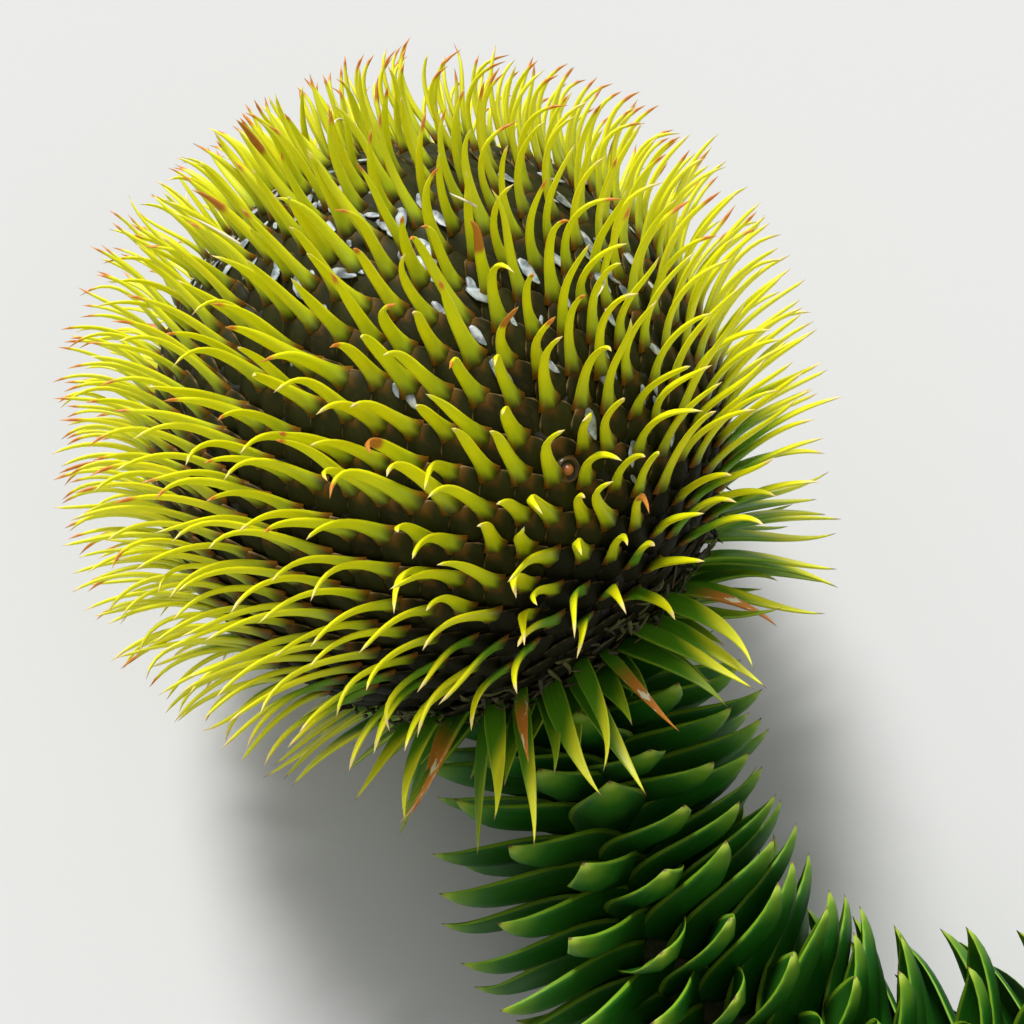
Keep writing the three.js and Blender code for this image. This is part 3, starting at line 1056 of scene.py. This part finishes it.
def make_scales():
    cone = bpy.context.scene.branch_cone
    dice = random.Random(cone.seed + 1)
    seats = []
    for index in range(cone.scales):
        normal = spiral_direction(index, cone.scales, cone.turn)
        if normal.angle(CONE_FOOT) < FOOT_RING:
            continue
        toward = Quaternion(normal, math.radians(dice.gauss(0, SCALE_WOBBLE))) @ toward_tip(normal)
        root = CONE_CENTRE + normal * CORE_RADIUS
        # The lowest scales get the deep tints: darker, partly by painted shade
        tints = DEEP_TINTS if normal.angle(CONE_TIP) > cone.spine_edge - LOWEST_SCALES else PLAIN_TINTS
        seats.append(tile_seat(root, toward, normal, dice.uniform(*SCALE_SIZES), dice.choice(tints)))
    grow_on_seats("cone_scale_fans", seats, tile_graph("Scales", fan_shape), {
        "Sides": 10, "Rings": 6, "Width": cone.scale_width / 2, "Length": cone.scale_width / 2,
        "Height": 2.6 * MM, "Material": scale_material(cone),
    }, [])
    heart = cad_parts["cone_core"]
    heart.data.materials.clear()
    heart.data.materials.append(heart_material(cone))


class BRANCH_OT_scales(bpy.types.Operator):
    """Covers the cone with overlapping scales"""

    bl_idname = "branch.scales"
    bl_label = "Scales"

    def execute(self, context):
        make_scales()
        return {"FINISHED"}


def drop_shape(graph, x, y, z):
    """A run of resin: low, long, bent and thinner at its tail."""
    tail = graph.maths("MAXIMUM", y * -1, 0)
    narrow = 1 - tail * DROP_TAPER + graph.maths("SINE", y * DROP_LUMP_TURNS) * DROP_LUMPS
    bend = graph.maths("SINE", y * DROP_BEND_TURNS) * DROP_BEND
    return x * narrow + bend, y - tail * DROP_SHORTER, z * narrow


def resin_material():
    material, graph, shader = new_material("dried_resin")
    cloud = graph.noise(object_spot(graph), 420.0)
    set_shader(graph, shader, {
        "Base Color": graph.mix(graph.smooth(cloud, 0.35, 0.65), *RESIN_GREYS),
        "Roughness": 0.4, "Subsurface Weight": 0.3, "Subsurface Scale": 1 * MM,
    })
    return material


def scar_shape(graph, x, y, z):
    """A round scar where a scale has dropped: a knob in a groove inside a low ring."""
    far = graph.maths("SQRT", x * x + y * y)
    knob = graph.maths("MAXIMUM", 1 - far * far * SCAR_SLOPE, 0)
    ring = graph.maths("MAXIMUM", 1 - abs(far - SCAR_RING) * SCAR_SLOPE, 0)
    return x, y, z * SCAR_THICKNESS + (z > 0) * (knob + ring * SCAR_RING_HEIGHT) - SCAR_SUNK


def scar_material():
    material, graph, shader = new_material("scar")
    *_, far = tile_map(graph)
    skin = graph.mix(graph.smooth(far, 0.25, 0.45), SCAR_KNOB, SCAR_GROOVE)
    skin = graph.mix(graph.smooth(far, 0.6, 0.72), skin, SCAR_RIM)
    set_shader(graph, shader, {"Base Color": skin, "Roughness": 0.25})
    return material


def make_scar():
    normal = Vector(SCAR_PLACE).normalized()
    root = CONE_CENTRE + normal * (CORE_RADIUS + SCAR_RISE)
    seat = tile_seat(root, toward_tip(normal), normal, 1, 0)
    grow_on_seats("cone_scar", [seat], tile_graph("Scar", scar_shape), {
        "Sides": 20, "Rings": 20, "Width": 3.3 * MM, "Length": 3.3 * MM, "Height": 1.5 * MM,
        "Material": scar_material(),
    }, [])


def make_resin():
    cone = bpy.context.scene.branch_cone
    dice = random.Random(cone.seed + 2)
    seats = []
    for place, spread, count in RESIN_SPOTS:
        middle = Vector(place).normalized()
        for _ in range(count):
            jitter = Vector([dice.gauss(0, spread) for _ in range(3)])
            normal = (middle + jitter).normalized()
            if normal.angle(CONE_TIP) > cone.spine_edge:
                continue
            toward = toward_tip(normal)
            run = (toward + toward.cross(normal) * dice.gauss(0, RESIN_SWING)).normalized()
            root = CONE_CENTRE + normal * (CORE_RADIUS + dice.uniform(*RESIN_HEIGHTS) * MM)
            seats.append(tile_seat(root, run, normal, dice.uniform(*RESIN_SIZES), 0))
    grow_on_seats("resin_drops", seats, tile_graph("Resin", drop_shape), {
        "Sides": 10, "Rings": 8, "Width": 1.2 * MM, "Length": 2.5 * MM, "Height": 0.3 * MM,
        "Material": resin_material(),
    }, [])
    make_scar()


class BRANCH_OT_resin(bpy.types.Operator):
    """Puts drops of resin and one scar among the spines"""

    bl_idname = "branch.resin"
    bl_label = "Resin and scar"

    def execute(self, context):
        make_resin()
        return {"FINISHED"}


# Dry threads and bits


def bit_seats(dice, places, length, width):
    """Loose curled bits that lie on the cone at the given directions."""
    seats = []
    for normal in places:
        side = toward_tip(normal).cross(normal)
        turn = Quaternion(normal, dice.uniform(-math.pi, math.pi))
        leans = [dice.uniform(*lean) for lean in BIT_LEANS]
        root = CONE_CENTRE + normal * (CORE_RADIUS + dice.uniform(*BIT_HEIGHTS) * MM)
        curl = (side * dice.gauss(*BIT_SIDE_CURL) + normal * dice.gauss(*BIT_OUTWARD_CURL)) * MM
        size = length * dice.uniform(*BIT_SIZES)
        thickness = width * BIT_THICKNESS
        variant = dice.randrange(BLADE_COLUMNS)
        toward = turn @ toward_tip(normal)
        seats.append(bent_seat(root, normal, toward, leans, size, width, thickness, variant, curl))
    return seats


def bit_material(name, tints):
    material, graph, shader = new_material(name)
    _, chance, _, _, along = blade_map(graph)
    skin = graph.mix(graph.smooth(along, 0.75, 1) * 0.3, graph.mix(chance, *tints), BIT_POINT)
    set_shader(graph, shader, {"Base Color": skin, "Roughness": 0.7})
    return material


def make_bits():
    cone = bpy.context.scene.branch_cone
    dice = random.Random(cone.seed + 3)
    tree = blade_graph("Bits", THREAD_OUTLINE, rings=10, sides=5)
    places = [Vector(place).normalized() for place in THREAD_PLACES]
    threads = bit_seats(dice, places, 11 * MM, 0.7 * MM)
    for seat in threads:
        out = seat.root - CONE_CENTRE
        seat.root += out - out.normalized() * (CORE_RADIUS - THREAD_RISE)
    grow_on_seats("dry_threads", threads, tree, {
        "Dish": 0, "Keel": 0, "Plate": 1, "Clearance": 2 * MM,
        "Material": bit_material("pale_threads", THREAD_TINTS),
    }, [])
    places = []
    for _ in range(BIT_COUNT):
        off_foot = math.radians(dice.uniform(*BIT_PART))
        places.append(foot_direction(off_foot, dice.uniform(-math.pi, math.pi)))
    grow_on_seats("dry_bits", bit_seats(dice, places, 5 * MM, 1.2 * MM), tree, {
        "Dish": 0.2, "Keel": 0, "Plate": 1, "Clearance": 2 * MM,
        "Material": bit_material("brown_bits", BIT_TINTS),
    }, [])


class BRANCH_OT_bits(bpy.types.Operator):
    """Scatters dry threads on the spines and dry bits behind the collar"""

    bl_idname = "branch.bits"
    bl_label = "Dry bits"

    def execute(self, context):
        make_bits()
        return {"FINISHED"}


# The collar


def collar_material(collar):
    material, graph, shader = new_material("collar_leaf")
    column, chance, around, edge, along = blade_map(graph)
    face = graph.mix(chance, collar.colour, COLLAR_GREEN)
    face = graph.mix(graph.smooth(edge, 0.8, 1) * 0.7, face, COLLAR_EDGE)
    streaks = graph.noise(graph.join(around * 30, along * 2, column), 1.0)
    face = graph.mix(graph.smooth(streaks, 0.4, 0.75) * 0.3, face, COLLAR_STREAK)
    # Yellow points: partly the leaves' own colour, partly painted sunlight that reaches further down one half
    # of the blade; the leaves under the collar get less of it, as painted shade
    is_plain = 1 - is_past(column, DEEP_TINTS)
    painted_lit_half = graph.maths("COSINE", around * FULL_TURN) * 0.13
    yellow_and_painted_sun = graph.smooth(along + chance * 0.2 + painted_lit_half, 0.56, 0.84) * (is_plain * 0.75 + 0.25)
    green = graph.mix(yellow_and_painted_sun, face, collar.point_colour)
    green = graph.mix(graph.smooth(along, 0.93, 0.985), green, COLLAR_TIP)
    spots = graph.noise(graph.join(around * 5, along * 7, column), 1.0)
    dry = graph.mix(graph.smooth(spots, 0.56, 0.63), *DRY_TINTS)
    dead = graph.mix(graph.smooth(along + chance * 0.1, 0.25, 0.6), green, dry)
    set_shader(graph, shader, {
        "Base Color": graph.mix(is_past(column, DEAD_TINTS), green, dead),
        "Roughness": 0.4, "Subsurface Weight": 0.15,
        "Subsurface Radius": (0.5, 0.8, 0.1), "Subsurface Scale": 2 * MM,
    })
    return material


def make_collar():
    collar = bpy.context.scene.branch_collar
    dice = random.Random(collar.seed)
    seats = []
    for index in range(collar.leaves + FOOT_LEAVES):
        share = (index + 0.5) / collar.leaves
        outer = min(share, 1)
        inner = max(0, share - 1) * collar.leaves / FOOT_LEAVES
        off_foot = COLLAR_OUTER + (COLLAR_INNER - COLLAR_OUTER) * outer + (COLLAR_FOOT - COLLAR_INNER) * inner
        normal = foot_direction(math.radians(off_foot), index * GOLDEN_ANGLE)
        front = math.cos(front_angle(normal))
        to_right = math.sin(front_angle(normal)) ** 3 * (inner == 0)
        to_left = max(-to_right, 0)
        more = max(to_right * COLLAR_RIGHT_TURN, to_left * COLLAR_LEFT_TURN)
        swing = dice.gauss(0, COLLAR_SWING_WOBBLE) - to_left * COLLAR_LEFT_SWING
        toward = Quaternion(normal, math.radians(swing)) @ toward_tip(normal)
        flat = FOOT_TURN * min(inner / FOOT_TURN_PART, 1)
        foot_lean, *outer_leans = COLLAR_LEANS
        leans = [foot_lean + flat]
        leans += [lean + COLLAR_FRONT_TURN * front + flat * FOOT_TURN_MORE for lean in outer_leans]
        leans = [lean + more + dice.gauss(0, COLLAR_WOBBLE) for lean in leans]
        least, further, shorter = COLLAR_LENGTHS
        length = collar.length * (least + further * outer - shorter * inner)
        length *= dice.uniform(*COLLAR_LENGTH_SIZES)
        root = CONE_CENTRE + normal * (CORE_RADIUS - COLLAR_SUNK)
        curl = toward.cross(normal) * dice.gauss(*COLLAR_SIDE_CURL) * MM
        curl += toward * dice.gauss(*COLLAR_TIP_CURL) * MM
        dead = dice.random() < DEAD_LEAF_SHARE and inner == 0
        # The leaves under the collar get the deep tints, and with them less painted sunlight on their points
        tints = DEEP_TINTS if inner > 0 else PLAIN_TINTS
        variant = dice.choice(DEAD_TINTS if dead else tints)
        width = collar.width * (DEAD_LEAF_WIDTH if dead else 1 + inner) * dice.uniform(*COLLAR_WIDTH_SIZES)
        length *= (DEAD_LEAF_LENGTH if dead else 1) * (1 + COLLAR_LEFT_LONGER * to_left)
        seats.append(bent_seat(root, normal, toward, leans, length, width, collar.thickness, variant, curl))
    tree = blade_graph("Collar", COLLAR_OUTLINE, rings=18, sides=12)
    grow_on_seats("collar_leaf_blades", seats, tree, {
        "Dish": 0.3, "Keel": 0.5, "Plate": 0.7, "Clearance": 2 * MM, "Material": collar_material(collar),
    }, numbered("collar_leaves", 6))


class BRANCH_OT_collar(bpy.types.Operator):
    """Grows the collar of broad leaves under the cone"""

    bl_idname = "branch.collar"
    bl_label = "Collar"

    def execute(self, context):
        make_collar()
        return {"FINISHED"}


# The shoot


def stem_points():
    """Places on a smooth line through the stem's knots, a small step apart, from the cone's foot to the cut."""
    foot = CONE_CENTRE + CONE_FOOT * CORE_RADIUS
    knots = [foot, foot + CONE_FOOT * NECK_LENGTH]
    for degrees in range(BEND_START, BEND_END, BEND_STEP):
        angle = math.radians(degrees)
        knots.append(Vector((
            BEND_CENTRE.x + BEND_RADIUS * math.cos(angle),
            BEND_CENTRE.y + BEND_RADIUS * math.sin(angle),
            SHOOT_HEIGHT,
        )))
    lowest = BEND_CENTRE.y - BEND_RADIUS
    knots.append(Vector(((BEND_CENTRE.x + CUT_X) / 2, lowest, SHOOT_HEIGHT)))
    knots.append(Vector((CUT_X, lowest, SHOOT_HEIGHT)))
    knots = [2 * knots[0] - knots[1], *knots, 2 * knots[-1] - knots[-2]]
    points = []
    for before, first, second, after in zip(knots, knots[1:], knots[2:], knots[3:]):
        for step in range(STEM_STEPS):
            share = step / STEM_STEPS
            points.append((
                2 * first + (second - before) * share
                + (2 * before - 5 * first + 4 * second - after) * share ** 2
                + (3 * first - before - 3 * second + after) * share ** 3
            ) / 2)
    return [*points, knots[-2]]


class StemPath:
    """The middle line of the stem, by length."""

    def __init__(self):
        self.points = stem_points()
        self.lengths = [0]
        for first, second in zip(self.points, self.points[1:]):
            self.lengths.append(self.lengths[-1] + (second - first).length)

    @property
    def length(self):
        return self.lengths[-1]

    def frame_at(self, length):
        """The place there, the way along to the cut, and two ways across: level and up."""
        index = max(1, sum(1 for reached in self.lengths[:-1] if reached < length))
        first, second = self.points[index - 1], self.points[index]
        share = (length - self.lengths[index - 1]) / (second - first).length
        along = (second - first).normalized()
        level = along.cross(UP).normalized()
        return first.lerp(second, share), along, level, level.cross(along)

    def radius_at(self, length):
        share = length / self.length
        return STEM_RADIUS_AT_CONE + (STEM_RADIUS_AT_CUT - STEM_RADIUS_AT_CONE) * share


def bark_graph():
    """Wraps a skin round the path that comes in, with a low cushion under each leaf, closed at both ends."""
    sizes = ("Length", "Start Radius", "End Radius", "Leaf Step", "First Leaf", "Cushion", "Material")
    graph, given = geometry_graph("Bark", sizes)
    path = graph.node("GeometryNodeMeshToCurve", values={"Mesh": given["Geometry"]})
    sheet = graph.sheet(BARK_SIDES, BARK_RINGS)
    x, y, _ = graph.split(graph.node("GeometryNodeInputPosition"))
    end_share = 1 / BARK_RINGS
    run = y + 0.5
    to_end = graph.maths("MINIMUM", run, 1 - run)
    open_share = graph.maths("MINIMUM", to_end / end_share, 1)
    inner = graph.maths("MAXIMUM", run - end_share, 0) / (1 - 2 * end_share)
    share = graph.maths("MINIMUM", inner, 1)
    middle = graph.node(
        "GeometryNodeSampleCurve", {"mode": "FACTOR"}, {"Curves": path, "Factor": share}, "Position",
    )
    along = middle.output("Tangent")
    level = graph.maths("NORMALIZE", graph.maths("CROSS_PRODUCT", along, (0, 0, 1)))
    up = graph.maths("CROSS_PRODUCT", level, along)
    angle = (x + 0.5) * -FULL_TURN
    leaf_number = (share * given["Length"] - given["First Leaf"]) / given["Leaf Step"]
    waves = []
    for arms, turns in SPIRALS:
        slope = turns - arms * GOLDEN_ANGLE / FULL_TURN
        waves.append(graph.maths("COSINE", angle * arms + leaf_number * (slope * FULL_TURN)))
    # From 0 between the cushions to 1 on them
    cushion = (waves[0] + waves[1]) * 0.25 + 0.5
    radius = given["Start Radius"] + (given["End Radius"] - given["Start Radius"]) * share
    outward = level * graph.maths("COSINE", angle) + up * graph.maths("SINE", angle)
    rough = graph.noise(middle + outward * radius, 420.0, 3.0)
    radius = radius + given["Cushion"] * (cushion - 1) + given["Cushion"] * BARK_ROUGHNESS * (rough - 0.5)
    place = middle + outward * (radius * open_share)
    return finish_tree(graph, graph.merge(graph.move(sheet, place)), given["Material"])


def bark_material(shoot):
    material, graph, shader = new_material("bark")
    spot = object_spot(graph)
    patches = graph.noise(spot, 90.0, 4.0)
    grain = graph.noise(spot, 700.0, 3.0)
    skin = graph.mix(graph.smooth(patches, 0.3, 0.6), shoot.bark_colour, BARK_GREEN)
    skin = graph.mix(graph.smooth(grain, 0.45, 0.7) * 0.6, skin, BARK_GRAIN)
    bump = graph.node("ShaderNodeBump", values={"Height": grain, "Distance": 0.4 * MM, "Strength": 0.8})
    set_shader(graph, shader, {"Base Color": skin, "Roughness": 0.82, "Normal": bump})
    return material


def wood_material(middle):
    material, graph, shader = new_material("cut_wood")
    spot = object_spot(graph)
    _, y, z = graph.split(spot - tuple(middle))
    wobble = graph.noise(spot, 160.0)
    far = graph.maths("SQRT", y * y + z * z) / (STEM_RADIUS_AT_CUT - BARK_THICKNESS) + (wobble - 0.5) * 0.05
    uneven = far + graph.maths("SINE", far * 9) * 0.04
    rings = graph.maths("COSINE", uneven * (FULL_TURN * WOOD_RINGS)) * 0.5 + 0.5
    wood = graph.mix(graph.smooth(rings, 0.3, 0.9), *WOOD_TINTS)
    fine = graph.noise(spot, 1500.0)
    wood = graph.mix(graph.smooth(fine, 0.5, 0.75) * 0.35, wood, WOOD_SPECK)
    wood = graph.mix(graph.smooth(far, 0.17, 0.10), wood, WOOD_PITH)
    wood = graph.mix(graph.smooth(far, 0.9, 0.97), wood, WOOD_RIM)
    set_shader(graph, shader, {"Base Color": wood, "Roughness": 0.7})
    return material


def cut_face(path):
    """The sawn end: a thin closed disc with faint saw marks, a pith hollow and a rounded rim."""
    place, along, level, up = path.frame_at(path.length)
    radius = STEM_RADIUS_AT_CUT - BARK_THICKNESS
    dice = random.Random(SAW_SEED)
    rows = [*PITH_CIRCLES, *((share / 10, 0) for share in range(2, 10)), *RIM_CIRCLES]
    first_mark, last_mark = SAW_MARK_PART
    vertices = [place + along * CUT_PROUD - along * PITH_DEPTH * MM]
    for share, lift in rows:
        for step in range(CUT_SIDES):
            angle = FULL_TURN * step / CUT_SIDES
            across = level * math.cos(angle) + up * math.sin(angle)
            mark = math.sin(share * radius * math.cos(angle) / SAW_MARK_WIDTH) * SAW_MARK_DEPTH
            mark += dice.uniform(-SAW_ROUGHNESS, SAW_ROUGHNESS)
            height = CUT_PROUD + (lift + mark * (first_mark < share < last_mark)) * MM
            vertices.append(place + across * radius * share + along * height)
    vertices.append(place - along * CUT_DEPTH)
    faces = [(0, 1 + step, 1 + (step + 1) % CUT_SIDES) for step in range(CUT_SIDES)]
    for row in range(len(rows) - 1):
        inner = 1 + row * CUT_SIDES
        outer = inner + CUT_SIDES
        for step in range(CUT_SIDES):
            following = (step + 1) % CUT_SIDES
            faces.append((inner + step, outer + step, outer + following, inner + following))
    rim = 1 + (len(rows) - 1) * CUT_SIDES
    back = len(vertices) - 1
    faces += [(rim + step, back, rim + (step + 1) % CUT_SIDES) for step in range(CUT_SIDES)]
    mesh = bpy.data.meshes.new("stem_cut_wood")
    mesh.from_pydata(vertices, [], faces)
    mesh.materials.append(wood_material(place))
    work = bmesh.new()
    work.from_mesh(mesh)
    bmesh.ops.recalc_face_normals(work, faces=work.faces)
    work.to_mesh(mesh)
    work.free()
    mesh.shade_smooth()
    piece = bpy.data.objects.new("stem_cut_wood", mesh)
    bpy.context.collection.objects.link(piece)
    hand_over(piece, [])


def make_stem():
    shoot = bpy.context.scene.branch_shoot
    path = StemPath()
    mesh = bpy.data.meshes.new("stem_path")
    edges = [(index, index + 1) for index in range(len(path.points) - 1)]
    mesh.from_pydata(path.points, edges, [])
    piece = grow("stem_bark", mesh, bark_graph(), {
        "Length": path.length, "Start Radius": STEM_RADIUS_AT_CONE, "End Radius": STEM_RADIUS_AT_CUT,
        "First Leaf": FIRST_LEAF, "Leaf Step": leaf_step(shoot, path), "Cushion": 1.1 * MM,
        "Material": bark_material(shoot),
    })
    hand_over(piece, ["stem_neck", "stem_bend", "stem_foot"])
    cut_face(path)


class BRANCH_OT_stem(bpy.types.Operator):
    """Wraps the stem in bark and cuts its end"""

    bl_idname = "branch.stem"
    bl_label = "Stem"

    def execute(self, context):
        make_stem()
        return {"FINISHED"}


def leaf_step(shoot, path):
    return (path.length - shoot.bare_end - FIRST_LEAF) / shoot.leaves


def leaf_material(shoot):
    material, graph, shader = new_material("shoot_leaf")
    column, chance, around, edge, along = blade_map(graph)
    face = graph.mix(chance, shoot.colour, LEAF_GREEN)
    streaks = graph.noise(graph.join(around * 40, along * 2, column), 1.0)
    face = graph.mix(graph.smooth(streaks, 0.4, 0.8) * 0.25, face, LEAF_STREAK)
    face = graph.mix(graph.smooth(along, 0.74, 0.95) * 0.6, face, shoot.edge_colour)
    face = graph.mix(graph.smooth(edge, 0.94, 0.985), face, shoot.edge_colour)
    pale = graph.mix(graph.smooth(along, 0.9, 0.98) * 0.6, face, LEAF_PALE_END)
    tips = graph.mix(graph.smooth(along, 0.972, 0.99), pale, LEAF_TIP)
    set_shader(graph, shader, {"Base Color": tips, "Roughness": 0.55, "Specular IOR Level": 0.3})
    return material


def make_leaves():
    shoot = bpy.context.scene.branch_shoot
    dice = random.Random(shoot.seed)
    path = StemPath()
    step = leaf_step(shoot, path)
    seats = []
    for index in range(shoot.leaves):
        length = FIRST_LEAF + index * step
        place, along, level, up = path.frame_at(length)
        angle = index * GOLDEN_ANGLE
        normal = level * math.cos(angle) + up * math.sin(angle)
        toward = Quaternion(normal, math.radians(dice.gauss(0, LEAF_SWING_WOBBLE))) @ -along
        grown = smoothstep(length, *LEAF_NARROWS)
        facing = LEAF_FRONT_TURN * normal.dot(TO_CAMERA)
        leans = [lean - facing + dice.gauss(0, LEAF_WOBBLE) for lean in LEAF_LEANS]
        root = place + normal * path.radius_at(length) * LEAF_ROOT_DEPTH
        blade = shoot.length * (LEAST_LEAF_LENGTH + (1 - LEAST_LEAF_LENGTH) * grown)
        blade *= dice.uniform(*LEAF_LENGTH_SIZES)
        width = shoot.width * (LEAST_LEAF_WIDTH + (1 - LEAST_LEAF_WIDTH) * grown)
        width *= dice.uniform(*LEAF_WIDTH_SIZES)
        curl = toward * dice.gauss(*LEAF_CURL) * MM
        variant = dice.randrange(BLADE_COLUMNS)
        seats.append(bent_seat(root, normal, toward, leans, blade, width, shoot.thickness, variant, curl))
    tree = blade_graph("Leaves", LEAF_OUTLINE, rings=14, sides=10)
    grow_on_seats("shoot_leaf_blades", seats, tree, {
        "Dish": 0.5, "Keel": 0.3, "Plate": 0.6, "Clearance": 3 * MM, "Material": leaf_material(shoot),
    }, numbered("shoot_leaves", 4))


class BRANCH_OT_leaves(bpy.types.Operator):
    """Grows the leaves of the shoot"""

    bl_idname = "branch.leaves"
    bl_label = "Shoot leaves"

    def execute(self, context):
        make_leaves()
        return {"FINISHED"}


OPERATORS = (
    BRANCH_OT_stage,
    BRANCH_OT_scales,
    BRANCH_OT_spines,
    BRANCH_OT_resin,
    BRANCH_OT_bits,
    BRANCH_OT_collar,
    BRANCH_OT_stem,
    BRANCH_OT_leaves,
)


class BRANCH_PT_parts(bpy.types.Panel):
    """Lists the pieces of the branch"""

    bl_idname = "BRANCH_PT_parts"
    bl_label = "Monkey Puzzle Branch"
    bl_space_type = "VIEW_3D"
    bl_region_type = "UI"
    bl_category = "Branch"

    def draw(self, context):
        for operator in OPERATORS:
            self.layout.operator(operator.bl_idname)


def register():
    for name, group in SETTINGS.items():
        bpy.utils.register_class(group)
        setattr(bpy.types.Scene, name, PointerProperty(type=group))
    for part in (*OPERATORS, BRANCH_PT_parts):
        bpy.utils.register_class(part)


def unregister():
    for part in (BRANCH_PT_parts, *reversed(OPERATORS)):
        bpy.utils.unregister_class(part)
    for name, group in reversed(SETTINGS.items()):
        delattr(bpy.types.Scene, name)
        bpy.utils.unregister_class(group)


def main():
    register()
    for operator in OPERATORS:
        group, name = operator.bl_idname.split(".")
        getattr(getattr(bpy.ops, group), name)()


if __name__ == "__main__":
    main()
